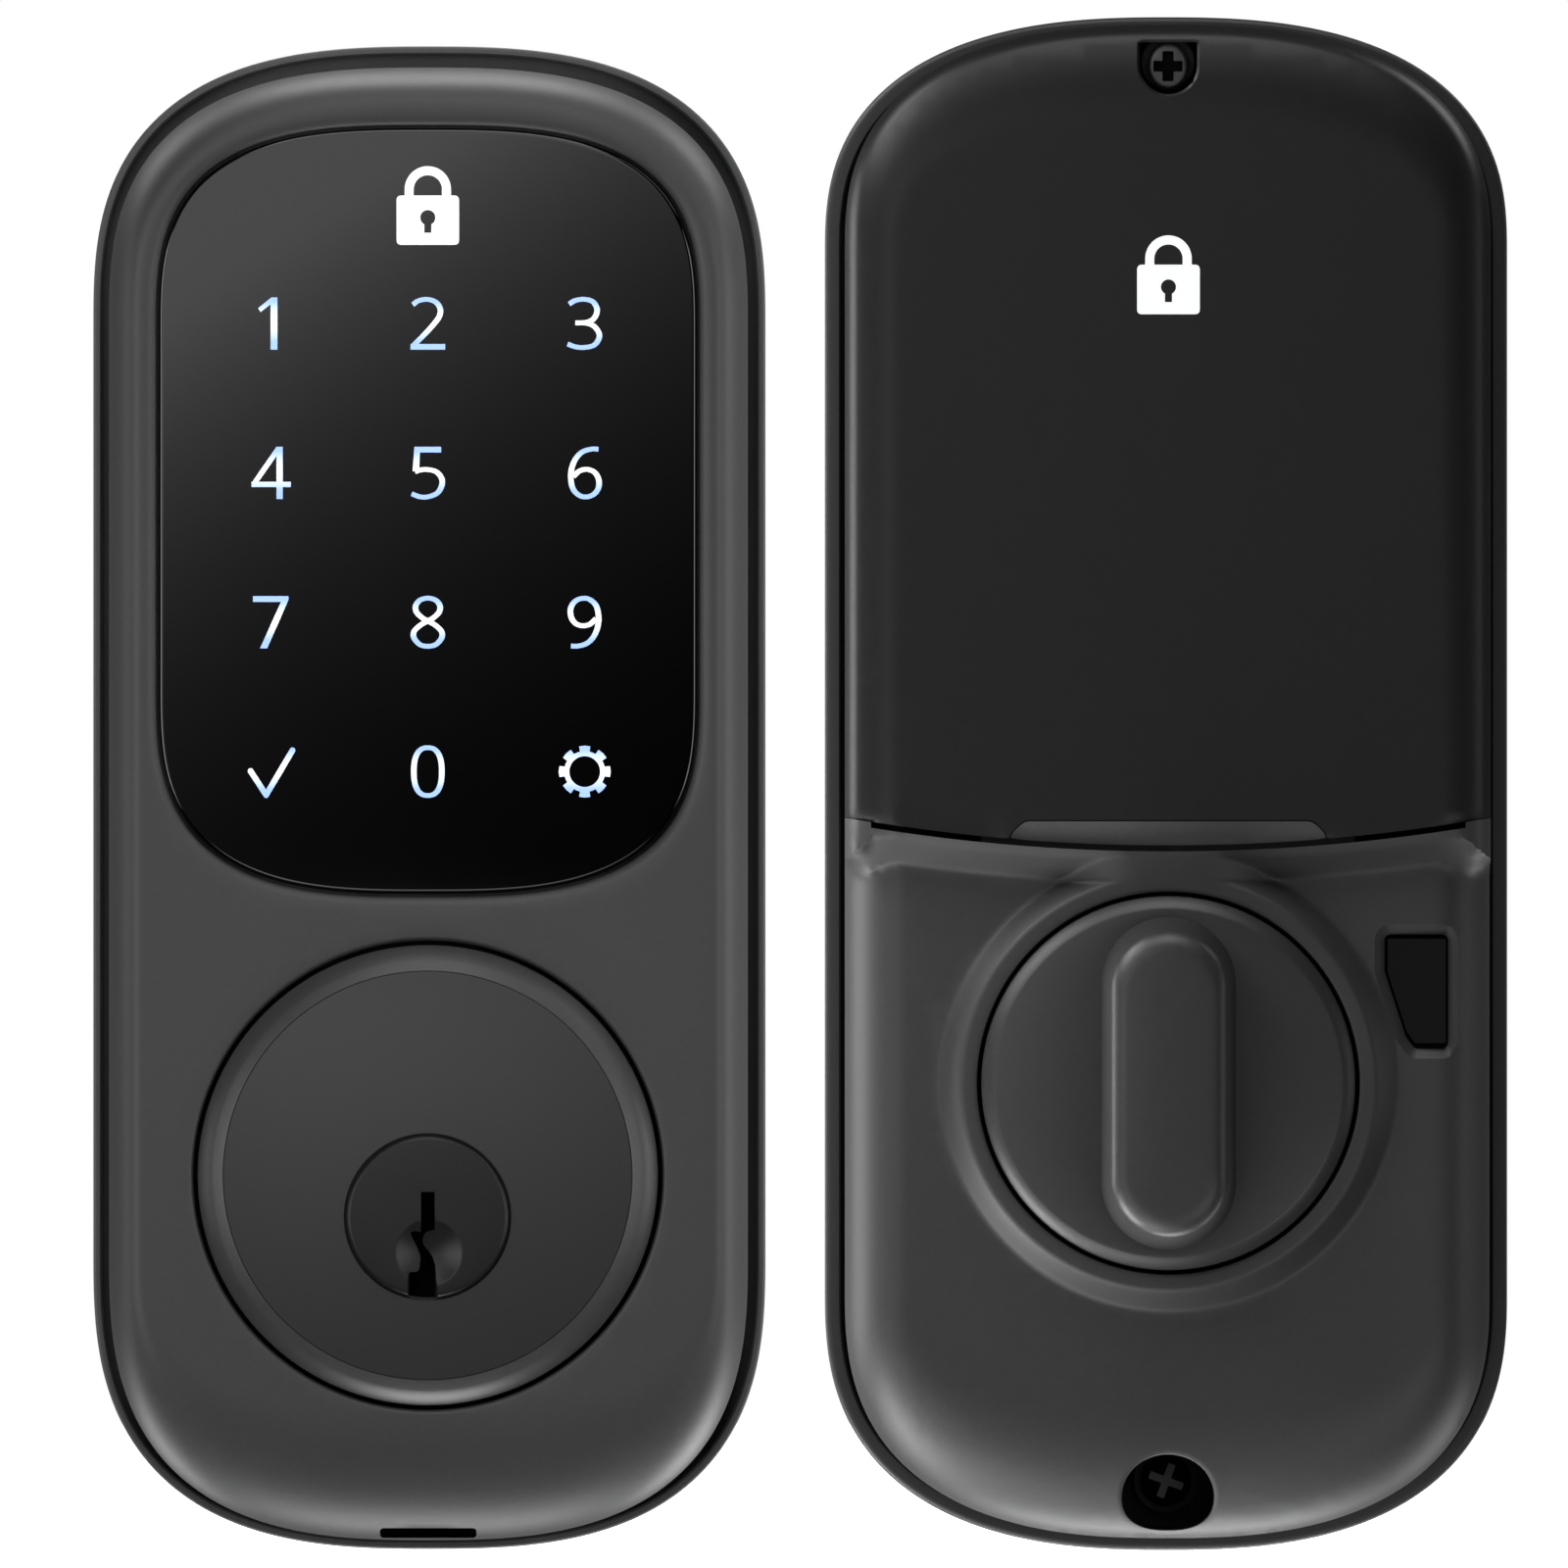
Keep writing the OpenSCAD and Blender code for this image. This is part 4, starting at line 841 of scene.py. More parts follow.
def raise_flat(solid, xy, faces, z0, z1):
    """A flat outline mesh made solid between two heights."""
    n = len(xy)
    edges = {}
    for f in faces:
        for a, b in zip(f, f[1:] + f[:1]):
            edges.setdefault((min(a, b), max(a, b)), []).append((a, b))
    sides = [(a, b, b + n, a + n) for uses in edges.values() if len(uses) == 1 for a, b in uses]
    verts = np.vstack([np.column_stack([xy, np.full(n, z)]) for z in (z0, z1)])
    solid.add(verts, [f[::-1] for f in faces] + [tuple(i + n for i in f) for f in faces] + sides)


def padlock(y):
    """A plain padlock with a keyhole; a shackle of two half circles stands on its body."""
    body = round_corners(box_of(-3.1, 3.1, -3.9, 1.0), 0.5)
    keyhole = polar(0.75, np.linspace(-1.08, math.pi + 1.08, 24)) + (0, -1.2)
    keyhole = np.vstack([keyhole, [(-0.35, -2.7), (0.35, -2.7)]])
    up = np.linspace(0, math.pi, 30)
    outer, inner = polar(2.3, up) + (0, 1.6), polar(1.4, up[::-1]) + (0, 1.6)
    shackle = np.vstack([[(2.3, 0.95)], outer, [(-2.3, 0.95), (-1.4, 0.95)], inner, [(1.4, 0.95)]])
    mid = np.array([0, y])
    return [(body + mid, [keyhole + mid]), (shackle + mid, [])]


def legends():
    z = GLASS_SPAN[2][1]
    z0, z1 = z - PRINT_PROUD, z + PRINT_PROUD
    solid = Solid(EXT)
    tick_key, gear_key = 9, 11
    for i in range(12):
        at = np.array([(i % 3 - 1) * KEY_PITCH[0], KEY_TOP - (i // 3) * KEY_PITCH[1]])
        if i == gear_key:
            outer, inner = gear_sign()
            thicken([(outer + at, [inner + at])], solid, z0, z1)
        else:
            xy, faces = union_fill(tick() if i == tick_key else digit((i + 1) % gear_key))
            raise_flat(solid, xy + at, faces, z0, z1)
    solid.make("lit_digits", [LEGEND], "lock", ["keypad_legends"])


def gear_sign():
    """Eight short teeth on a ring."""
    root, tip, bore, half = 2.03, 2.56, 1.53, 0.235
    out = []
    for k in range(8):
        mid = math.pi / 4 * k
        out += [(root, mid - half), (tip, mid - 0.215), (tip * 1.004, mid), (tip, mid + 0.215), (root, mid + half)]
        out += [(root, mid + half + (math.pi / 4 - 2 * half) * f) for f in (0.33, 0.66)]
    return np.array([(r * math.cos(a), r * math.sin(a)) for r, a in out]), circle((0, 0), bore, 0.2)


def tick():
    left, right = (-2.01, 0.05), (2.14, 2.11)
    low = np.array([(-0.86, -2.2), (-0.6, -2.6), (-0.33, -2.6), (-0.1, -2.2)])
    strokes = ribbon([left, (-0.5, -2.28)], pen=TICK_PEN) + ribbon([(-0.45, -2.28), right], pen=TICK_PEN)
    return strokes + [low] + [circle(p, TICK_PEN[0], 0.12) for p in (left, right)]


# ---------------------------------------------------------------- interior module
INT_SPAN = INT.span("interior_base")
INT_PLAN = Plan(INT_SPAN[0][1], INT_SPAN[1][1], INT_SPAN[1][1], 23, 25.4, 2.54)
CASE_PLAN = INT_PLAN.inset(1.98, 1.15, 1.45)
CASE_TOP = INT.span("battery_cover")[2][1]
# the seam between cover and housing is an arc; its gap closes beyond the ears
SEAM_R = 185.1
SEAM_LOW = -6.1
SEAM_MID = SEAM_LOW + SEAM_R
SEAM_GAP = 0.6
SEAM_TOUCH = 0.05
SEAM_STEP = 0.8
# where the ears start and end, and how much wider they make the level strip below the seam
EAR = (29.4, 31.8, 2.3)
# sloping band below the seam: start and end from the seam, and its drop
BAND = (0.9, 3.7, 3.0)
# bridge between band and collar: height, its y, lean, half width of its flat, fall beyond that
BRIDGE = (33.4, -10.3, 0.18, 3.0, 0.045)
# finger notch: half width below and above, its lower and upper y; gap round the tongue in it
NOTCH = (15.7, 14.3, -5.0, -3.6)
TONGUE_GAP = 0.12
SHELF = (18.5, -7.5, -2.2)
# how far the rolls of the case and of the lower face reach in
EDGE_IN = 1.3
COVER_ROLL = (5.3, 9.5, 12.5)
FACE_ROLL = (6.0, 6.0, 12.4)
COVER_DROP = 2.8
EDGE_DROP = 2.8
FACE_Z = 31
FACE_EDGE = 22
TURN_MID = INT.middle("thumbturn")
# radius of the collar's edge and foot, and its height; radius and floor of the well in it
COLLAR = (20.5, 22.6, 33.4)
WELL = (18.9, 30.5)
NECK_HOLE = 6.96
BUTTON_HOLE = [(21.4, -14.9), (27.7, -14.9), (27.7, -26.2), (24.4, -26.2), (23.5, -25), (21.4, -18.5)]
# width and depth of the chamfer round the button
BUTTON_EDGE = (1.0, 0.75)
SCREW_TOP = INT.middle("top_screw")
SCREW_LOW = INT.middle("bottom_screw")
# screw: width and height of its head, reach and half width of the arms of its cross, depth, turn, shift
NOTCH_SCREW = ((4.1, 4.7), (1.45, 1.5), (0.56, 0.54), 1.2, 0, -0.4)
DEEP_SCREW = ((5, 5), (1.75, 1.75), (0.38, 0.38), 0.1, -20, 0)
SHANK_R, HEAD_HIGH = 1.2, 1.8
HOUSING_SCREWS = [(27, -38), (-27, -38), (22, -58), (-22, -58)]
# turning disc: radius of its wall and of its top, height of its top; radius of the neck and of its bore
TURN_DISC = (18.5, 17.2, 34.4)
TURN_NECK = (6.9, 5.03)
# grip of the thumbturn: width, length, rise of its crown, lean of its wall, radius of its upper edge
GRIP = (13.3, 32.9, 0.35, 0.85, 1.9)


def runs_of(line, ok):
    """Runs of more than two points where ok holds, as open guides."""
    runs = np.split(np.arange(len(line)), np.flatnonzero(~ok))
    return [(line[run[ok[run]]], False) for run in runs if ok[run].sum() > 2]


def clip_loop(loop, keep):
    """A closed loop as a guide if keep holds all round, else the runs of it where keep holds."""
    ok = keep(loop)
    if ok.all():
        return [(loop, True)]
    start = int(np.argmin(ok))
    return runs_of(np.roll(loop, -start, axis=0), np.roll(ok, -start))


def seam_radius(xy):
    return np.hypot(xy[:, 0], xy[:, 1] - SEAM_MID)


def seam_y(x, r):
    """Height of the arc round the seam's middle at x."""
    return SEAM_MID - np.sqrt(r * r - x * x)


def seam_arc(radius, x0, x1, step=SEAM_STEP):
    x = np.linspace(x0, x1, max(8, int(abs(x1 - x0) / step)))
    return np.column_stack([x, seam_y(x, radius)])


def crown(xy):
    """Front surface of the whole interior case: crisp outer edge, then a broad roll to the flat front."""
    edge = share(CASE_PLAN, xy, EDGE_IN, EDGE_IN, EDGE_IN)
    broad = share(CASE_PLAN, xy, *COVER_ROLL)
    return CASE_TOP - COVER_DROP * (1 - broad) ** 2 - EDGE_DROP * (1 - quarter(edge))


def lower_face(xy):
    """Front surface of the housing below the band, without collar and bridge."""
    return FACE_EDGE + (FACE_Z - FACE_EDGE) * quarter(share(CASE_PLAN, xy, *FACE_ROLL))


def cut_by_seam(plan, radius, above):
    """Outline of the part of a plan above or below the seam arc, and the arc between its straight sides."""
    loop = plan.loop(0.4)
    side = seam_radius(loop) < radius if above else seam_radius(loop) > radius
    start = int(np.argmin(side))
    loop, side = np.roll(loop, -start, axis=0), np.roll(side, -start)
    kept = loop[side]
    half = plan.size[0]
    y_side = SEAM_MID - math.sqrt(radius * radius - half * half)
    first, last = np.sign(kept[0][0]) * half, np.sign(kept[-1][0]) * half
    edge = np.vstack([[(first, y_side)], kept, [(last, y_side)]])
    arc = seam_arc(radius, last, first, 0.4)
    return [resample(line, SEAM_STEP, closed=False) for line in (edge, arc)]


def access_loop():
    """Outline of the screwdriver hole: round above, flatter and squarer below."""
    a = np.linspace(0, 2 * math.pi, 96, endpoint=False)
    up, low = np.sin(a) >= 0, 0.82
    x = np.where(up, np.cos(a), np.sign(np.cos(a)) * np.abs(np.cos(a)) ** low)
    y = np.where(up, 4.15 * np.sin(a), -3.4 * np.abs(np.sin(a)) ** low)
    return resample(np.column_stack([4.55 * x, y]), 0.45) + (0, -70.5)


def notch_loop():
    """Outline of the screw notch at the top of the cover: a half circle that opens upwards."""
    half, low, high = 2.85, 68.15, 73.35
    bowl = polar(half, np.linspace(0, -math.pi, 20)) + (0, low + half)
    return resample(np.vstack([[(half, high)], bowl, [(-half, high)]]), 0.45)


def housing_height(button, access):
    """Height of the front of the housing, given its two openings."""
    foot, y_foot, lean, flat, fall = BRIDGE

    def height(xy):
        from_seam = seam_radius(xy) - SEAM_R
        start = band_start(xy[:, 0])
        slope = CASE_TOP - (from_seam - start) * BAND[2] / (BAND[1] - start)
        z = blend_max(lower_face(xy), np.minimum(crown(xy), slope), 0.35)
        r = np.hypot(xy[:, 0] - TURN_MID[0], xy[:, 1] - TURN_MID[1])
        flank = COLLAR[2] - (r - COLLAR[0]) * (COLLAR[2] - FACE_Z) / (COLLAR[1] - COLLAR[0])
        z = blend_max(z, blend_min(np.full(len(xy), float(COLLAR[2])), flank, 0.25), 0.35)
        bridge = foot + lean * (xy[:, 1] - y_foot) - fall * np.maximum(np.abs(xy[:, 0]) - flat, 0) ** 2
        z = np.where(seam_radius(xy) > SEAM_R + BAND[0], blend_max(z, bridge, 0.3), z)
        z -= BUTTON_EDGE[1] * np.clip(1 - np.abs(signed(xy, button)) / BUTTON_EDGE[0], 0, 1)
        z -= fillet(np.abs(signed(xy, access)), 0.3)
        return z - fillet(np.maximum(r - WELL[0], 0), 0.25)

    return height


def band_start(x):
    """Distance from the seam to the upper edge of the sloping band; it grows at the two ends of the seam."""
    return BAND[0] + EAR[2] * np.clip((np.abs(x) - EAR[0]) / (EAR[1] - EAR[0]), 0, 1)


def band_line(share_down):
    """A line along the band, from 0 at its upper edge to 1 at its lower one."""
    x = np.linspace(-33.5, 33.5, 120)
    start = band_start(x)
    return np.column_stack([x, seam_y(x, SEAM_R + start + share_down * (BAND[1] - start))])


def housing_seam(arc):
    """Seam edge of the housing: a gap up to the ears, beyond them it touches the cover."""
    ends = [side * (EAR[0] + d) for side in (-1, 1) for d in (-0.01, 0.01)]
    x = np.sort(np.concatenate([arc[:, 0], ends]))
    if arc[0][0] > arc[-1][0]:
        x = x[::-1]
    return np.column_stack([x, seam_y(x, SEAM_R + np.where(np.abs(x) < EAR[0], SEAM_GAP, SEAM_TOUCH))])


def notch_edge(gap):
    """Upper edge of the finger notch from left to right, drawn in by a gap."""
    wide, narrow, low, high = NOTCH[0] - gap, NOTCH[1] - gap / 2, NOTCH[2], NOTCH[3] - gap
    right = [(narrow, high), (wide, low), (wide, low - 3)]
    loop = round_corners([(-x, y) for x, y in right[::-1]] + right, 1.2)
    loop = loop[seam_radius(loop) < SEAM_R]
    return loop if loop[0][0] < loop[-1][0] else loop[::-1]


def tab_height(xy):
    """The tongue in the finger notch leans forward towards the top, like the band below the seam."""
    return 33.05 + 0.38 * np.clip(xy[:, 1] - SEAM_LOW, 0, 2.4)


def notch_tab(solid):
    """Shelf behind the finger notch, and the tongue on it that fills the notch."""
    shelf = round_corners(box_of(-SHELF[0], SHELF[0], *SHELF[1:]), 0.4)
    shelf_top, shelf_low = 30.3, 28.4
    edge = resample(notch_edge(TONGUE_GAP), 0.5, closed=False)
    tongue = np.vstack([edge, seam_arc(SEAM_R, edge[-1][0], edge[0][0])[1:-1]])
    for outline, top, low in ((shelf, shelf_top, shelf_low), (tongue, tab_height, shelf_top)):
        solid.sheet(outline, [], top, [(grow(outline, -0.3), True)], step=1.0)
        solid.tube(outline, top(outline) if callable(top) else top, low)
        solid.sheet(outline, [], low, front=False)


def interior_housing():
    top = cut_by_seam(CASE_PLAN, SEAM_R + SEAM_TOUCH, above=False)
    outer = np.vstack([top[0], housing_seam(top[1])[1:-1]])
    well = circle(TURN_MID, WELL[0])
    button = round_corners(BUTTON_HOLE, 0.7)
    access = access_loop()
    height = housing_height(button, access)

    def clear(p):
        d = np.minimum(distance(p, well), np.minimum(distance(p, button), distance(p, access) - 0.5))
        return within(p, outer) & (distance(p, outer) > 0.35) & (d > 0.35)

    def on_case(p):
        return within(p, outer) & (distance(p, outer) > 0.3)

    guides = []
    for f in (0.012, 0.045, 0.1, 0.17, 0.26, 0.36, 0.48, 0.6, 0.74, 0.87, 1.0):
        guides += clip_loop(CASE_PLAN.inset(*(r * f for r in FACE_ROLL)).loop(0.9), clear)
    guides += [(grow(button, r), True) for r in (0.5, 1.0)]
    guides += [(grow(access, r), True) for r in (0.1, 0.3, 0.55)]
    edge, foot, _ = COLLAR
    for r in (edge - 0.3, edge, edge + 0.3, edge + 0.85, edge + 1.4, foot - 0.3, foot, foot + 0.35):
        guides += clip_loop(circle(TURN_MID, r), on_case)
    guides += [(grow(well, r), True) for r in (0.08, 0.25, 0.5)]
    for share_down in (0, 0.12, 0.3, 0.5, 0.7, 0.88, 1, 1.12):
        line = band_line(share_down)
        guides += runs_of(line, clear(line))
    solid = Solid(INT)
    solid.sheet(outer, [well, button, access], height, guides, step=0.9)
    back = INT.span("interior_housing")[2][0]
    solid.tube(outer, height(outer), back)
    below = CASE_PLAN.inset(2.2, 2.2, 0.75).loop(0.6)
    below = below[below[:, 1] < -9]
    start = int(np.argmax(np.hypot(*np.diff(np.vstack([below, below[:1]]), axis=0).T))) + 1
    inner = resample(np.roll(below, -start, axis=0), 1.0)
    neck = circle(TURN_MID, NECK_HOLE)
    # the back, inner walls, ceiling, hole walls, well and neck get painted shade
    solid.slot = 1

    def ceiling(xy):
        return np.minimum(28.5, lower_face(xy) - 1.8)

    solid.sheet(outer, [inner], back, front=False)
    solid.tube(inner, back, ceiling(inner))
    solid.sheet(inner, [neck, button, access], ceiling, step=3, front=False)
    for h in (button, access):
        solid.tube(h, height(h), ceiling(h))
    solid.tube(well, height(well), WELL[1])
    solid.sheet(well, [neck], WELL[1])
    solid.tube(neck, WELL[1], ceiling(neck))
    # the shelf and tongue get the lighter coat, painted light on the tongue
    solid.slot = 2
    notch_tab(solid)
    solid.make("interior_shell", [POWDER, PAINTED_SHADE, TAB_PAINTED_LIGHT], "lock", ["interior_housing"])


def battery_cover():
    top, arc = cut_by_seam(CASE_PLAN, SEAM_R, above=True)
    notch = resample(notch_edge(0), 0.5, closed=False)
    if arc[0][0] > arc[-1][0]:
        notch = notch[::-1]
    away = np.abs(arc[:, 0]) > np.abs(notch[:, 0]).max() + 0.2
    first = arc[:, 0] * notch[0][0] > 0
    low_edge = np.vstack([arc[away & first], notch, arc[away & ~first]])
    outer = np.vstack([top, low_edge[1:-1]])
    screw = notch_loop()

    def height(xy):
        z = crown(xy) - fillet(np.maximum(SEAM_R - seam_radius(xy), 0), 0.3)
        return z - fillet(np.abs(signed(xy, screw)), 0.25)

    def clear(p):
        return within(p, outer) & (distance(p, outer) > 0.25) & (distance(p, screw) > 0.3)

    guides = []
    for f in (0.03, 0.11, 0.24, 0.42, 0.7, 1.0):
        guides += clip_loop(CASE_PLAN.inset(EDGE_IN * f).loop(0.9), clear)
    for f in (0.36, 0.48, 0.6, 0.75, 0.88, 1.0):
        guides += clip_loop(CASE_PLAN.inset(*(r * f for r in COVER_ROLL)).loop(0.9), clear)
    guides += [(grow(screw, 0.25), True)]
    solid = Solid(INT)
    solid.sheet(outer, [screw], height, guides, step=1.3)
    back = INT.span("battery_cover")[2][0]
    # along the seam the lid is thin, so that it clears the shelf
    lift, reach, lift_half = 30.6, 4.2, 29.9

    def low(xy):
        at_seam = (seam_radius(xy) > SEAM_R - reach - 0.1) & (np.abs(xy[:, 0]) < lift_half)
        return np.where(at_seam, lift, back)

    inner_top, inner_arc = cut_by_seam(CASE_PLAN.inset(2, 0.9, 2), SEAM_R - reach, above=True)
    inner = np.vstack([inner_top, inner_arc[1:-1]])
    solid.tube(outer, height(outer), low(outer))
    solid.slot = 1
    solid.sheet(outer, [inner], low, front=False)

    def ceiling(xy):
        return np.minimum(32, crown(xy) - 1.6)

    solid.tube(inner, low(inner), ceiling(inner))
    solid.sheet(inner, [screw], ceiling, step=3, front=False)
    solid.tube(screw, height(screw), ceiling(screw))
    solid.make("battery_lid", [COVER, PLASTIC], "battery_cover", ["battery_cover"])


def interior_base():
    z_back, z_rim = INT_SPAN[2][0], 9.0
    floor_back, floor, wall = 2.2, 3.4, 1.6
    bolt_x = 19
    holes = [circle(TURN_MID, 9.5), circle((0, -11), 4.5)]
    holes += [circle(TURN_MID + (s * bolt_x, 0), 5) for s in (-1, 1)]
    holes += [circle(p, 1.4, 0.4) for p in HOUSING_SCREWS]
    posts = [(SCREW_TOP, 2.6, 28.0), (SCREW_LOW, 3.2, 8.4)]
    solid = Solid(INT)
    rings = rim_rings(INT_PLAN, wall, z_back, z_rim, floor, 0.6)
    solid.rings(rings)
    back_loop = ring_of(INT_PLAN, wall)
    solid.rings([(back_loop, z_back), (rings[0][0], z_back)])
    solid.tube(back_loop, z_back, floor_back)
    bores = [circle(mid, 1.3, 0.4) for mid, _, _ in posts]
    solid.sheet(back_loop, holes + bores, floor_back, front=False)
    feet = [circle(mid, r, 0.5) for mid, r, _ in posts]
    solid.sheet(rings[-1][0], holes + feet, floor)
    for h in holes:
        solid.tube(h, floor_back, floor)
    for foot, bore, (mid, r, top) in zip(feet, bores, posts):
        solid.tube(foot, floor, top)
        solid.sheet(foot, [bore], top)
        solid.tube(bore, floor_back, top)
    solid.make("interior_base_plate", [DARK_RIM], "lock", ["interior_base"])


def thumbturn():
    z0, z_top = INT.span("thumbturn")[2]
    disc_r, disc_in, disc_z = TURN_DISC
    neck, bore = TURN_NECK
    bore_end, face_r = 24.0, disc_in - 0.1
    groove, disc_low = neck - 0.7, 30.9
    profile = [(bore, z0), (neck, z0), (neck, 27.4), (groove, 27.5), (groove, 28.3), (neck, 28.4), (neck, disc_low),
               (disc_r - 0.2, disc_low), (disc_r, 31.1), (disc_r, 33.3), (disc_r - 0.12, 33.55),
               (disc_in + 0.15, 34.3), (face_r, disc_z)]

    def ring(r, z):
        return around(TURN_MID, r, 120), z

    solid = Solid(INT)
    solid.rings([ring(r, z) for r, z in profile])
    solid.rings([ring(bore, z0), ring(bore, bore_end)])
    solid.sheet(around(TURN_MID, bore, 120), [], bore_end, front=False)
    width, length, crown_rise, wall_in, r_top = GRIP
    half = width / 2
    z_roll = z_top - crown_rise - r_top
    steps = [(0, disc_z), (0.05, disc_z + 0.3), (wall_in, z_roll)]
    for a in np.linspace(0, math.radians(84), 10)[1:]:
        steps.append((wall_in + r_top * (1 - math.cos(a)), z_roll + r_top * math.sin(a)))
    last, z_last = steps[-1]
    for t in (0.85, 0.65, 0.45, 0.25, 0.1):
        steps.append((half - (half - last) * t, z_last + (z_top - z_last) * (1 - t * t)))
    loops = [(stadium(2 * (half - d), length - 3.1 * d, 160) + TURN_MID, z) for d, z in steps]
    solid.sheet(around(TURN_MID, face_r, 120), [loops[0][0]], disc_z)
    solid.rings(loops)
    solid.sheet(loops[-1][0], [], loops[-1][1])
    solid.make("turn_knob", [KNOB], "thumbturn", ["thumbturn"])


def cross_screw(name, node, head, reach, arm, deep, turn, shift, finish):
    """Pan head (width, height) with a cross slot on a plain shank; shift moves the head along y."""
    z0, z1 = INT.span(node)[2]
    z_low, edge = z1 - HEAD_HIGH, (0.4, 0.45)
    mid = INT.middle(node) + (0, shift)
    (rx, ry), (ax, ay) = reach, arm
    plus = [(rx, -ay), (rx, ay), (ax, ay), (ax, ry), (-ax, ry), (-ax, ay)]
    plus += [(-x, -y) for x, y in plus]
    c, d = math.cos(math.radians(turn)), math.sin(math.radians(turn))
    plus = round_corners([(x * c - y * d, x * d + y * c) for x, y in plus], 0.1, 3) + mid

    def head_loop(inset):
        return around((0, 0), 1, 64) * (head[0] / 2 - inset, head[1] / 2 - inset) + mid

    solid = Solid(INT)
    shank = around(mid, SHANK_R, 64)
    solid.rings([(shank, z0), (shank, z_low), (head_loop(0), z_low)], cap_first=True)
    profile = [(0, z_low), (0, z1 - edge[1])]
    for b in np.linspace(0, math.pi / 2, 5)[1:]:
        profile.append((edge[0] * (1 - math.cos(b)), z1 - edge[1] + edge[1] * math.sin(b)))
    solid.rings([(head_loop(inset), z) for inset, z in profile])
    solid.sheet(head_loop(profile[-1][0]), [plus], z1)
    solid.tube(plus, z1, z1 - deep)
    solid.slot = 1
    solid.sheet(plus, [], z1 - deep)
    solid.make(name, finish, "lock", [node])


def guard_ring():
    """Ring round the cylinder: a rounded flank and a bevel that runs down to the round face."""
    face, z_back = EXT.span("cylinder_body")[2][1], EXT.span("cylinder_guard_ring")[2][0]
    r_out, r_bevel, r_face = DISC_RING
    r_back, z_flank, rise = r_out - 1.25, face - 1.85, 1.45
    soft = r_out - 0.08
    profile = [(r_back, z_back), (r_out, z_back), (r_out, z_flank - 0.15), (soft, z_flank)]
    for t in np.linspace(0, 1, 9)[1:]:
        profile.append((soft - (soft - r_bevel) * t, z_flank + rise * (0.6 * t + 0.4 * (1 - (1 - t) ** 2))))
    profile += [(r_face, face + 0.02), (r_face - 0.02, face - 0.02), (r_out - 1.31, face - 0.92), (r_back, z_back)]
    solid = Solid(EXT)
    solid.rings([(around(DISC_MID, r), z) for r, z in profile])
    solid.make("bevelled_ring", [RING], "lock", ["cylinder_guard_ring"], sharp=25)


def key_plug():
    """Plug head with a keyway open at its lower edge and a dished recess, on a plain barrel."""
    z_back, z_front = EXT.span("key_plug")[2]
    r, shaft_r, z_head = PLUG_HEAD
    z_head += z_back
    tail_r, z_tail, z_low = 5.1, z_back + 3.7, z_head - 0.15
    mid = PLUG_MID
    low = [math.atan2(-math.sqrt(r * r - x * x), x) for x in (KEYWAY[-1][0], KEYWAY[0][0])]
    rim = polar(r, np.linspace(low[0], low[1] + 2 * math.pi, 120))
    way = smooth_path(KEYWAY[2:-2], steps=4)
    outline = np.concatenate([rim, [KEYWAY[1]], way, [KEYWAY[-2]]]) + mid
    dish_mid, dish_r, dish_deep = mid + DISH[:2], DISH[2], DISH[3]

    def height(xy):
        edge = r - np.hypot(*(xy - mid).T)
        inside = np.clip(1 - np.hypot(*(xy - dish_mid).T) / dish_r, 0, 1)
        return z_front - fillet(edge, 0.45) - dish_deep * (1 - (1 - inside) ** 1.7)

    loops = [around(mid, r - d) for d in (0.05, 0.12, 0.22, 0.34, 0.46)]
    loops += [around(dish_mid, dish_r * f, 72) for f in (1.01, 1.0, 0.93, 0.84, 0.72, 0.6, 0.46, 0.32, 0.16)]
    guides = []
    for loop in loops:
        line = np.vstack([loop, loop[:1]])
        guides += runs_of(line, within(line, outline) & (distance(line, outline) > 0.04))
    solid = Solid(EXT)
    solid.sheet(outline, [], height, guides)
    solid.tube(outline, z_head, height(outline))
    solid.sheet(outline, [], z_head, front=False)
    # the barrel gets painted shade, so that it shows dark through the open keyway
    solid.slot = 1
    profile = [(tail_r, z_back), (tail_r, z_tail), (shaft_r, z_tail), (shaft_r, z_low), (r - 0.03, z_low),
               (r - 0.03, z_head + 0.05)]
    solid.rings([(around(mid, ring_r, 72), z) for ring_r, z in profile], cap_first=True, cap_last=True)
    solid.make("plug_head", [PLUG, PAINTED_SHADE], "key_plug", ["key_plug"], sharp=30)


def printed_sign(name, place, y, z0, z1, body, node):
    solid = Solid(place)
    thicken(padlock(y), solid, z0, z1)
    solid.make(name, [PRINT_PAINTED_GLOW], body, [node])


exterior_housing()
exterior_base()
keypad_glass()
legends()
glass_z = GLASS_SPAN[2][1]
printed_sign("glass_sign", EXT, EXT_SIGN_Y, glass_z - PRINT_PROUD, glass_z + PRINT_PROUD, "lock", "keypad_badge")
interior_housing()
battery_cover()
printed_sign("cover_sign", INT, INT_SIGN_Y, CASE_TOP - 0.1, CASE_TOP + 0.03, "battery_cover", "cover_badge")
guard_ring()
key_plug()
interior_base()
thumbturn()
# the floor of this screw's cross slot gets painted shade
cross_screw("notch_screw", "top_screw", *NOTCH_SCREW, [GREY_SCREW, BLACK_SCREW_AND_SLOT_SHADE])
cross_screw("deep_screw", "bottom_screw", *DEEP_SCREW, [BLACK_SCREW_AND_SLOT_SHADE, GREY_SCREW])

# ---------------------------------------------------------------- floor, light and camera
# floor: x0, x1, y0, y1, its glow, and how far it lies below the object
FLOOR = (-0.6, 0.7, -0.16, 0.8)
FLOOR_GLOW = 1.3
FLOOR_GAP = 0.0003
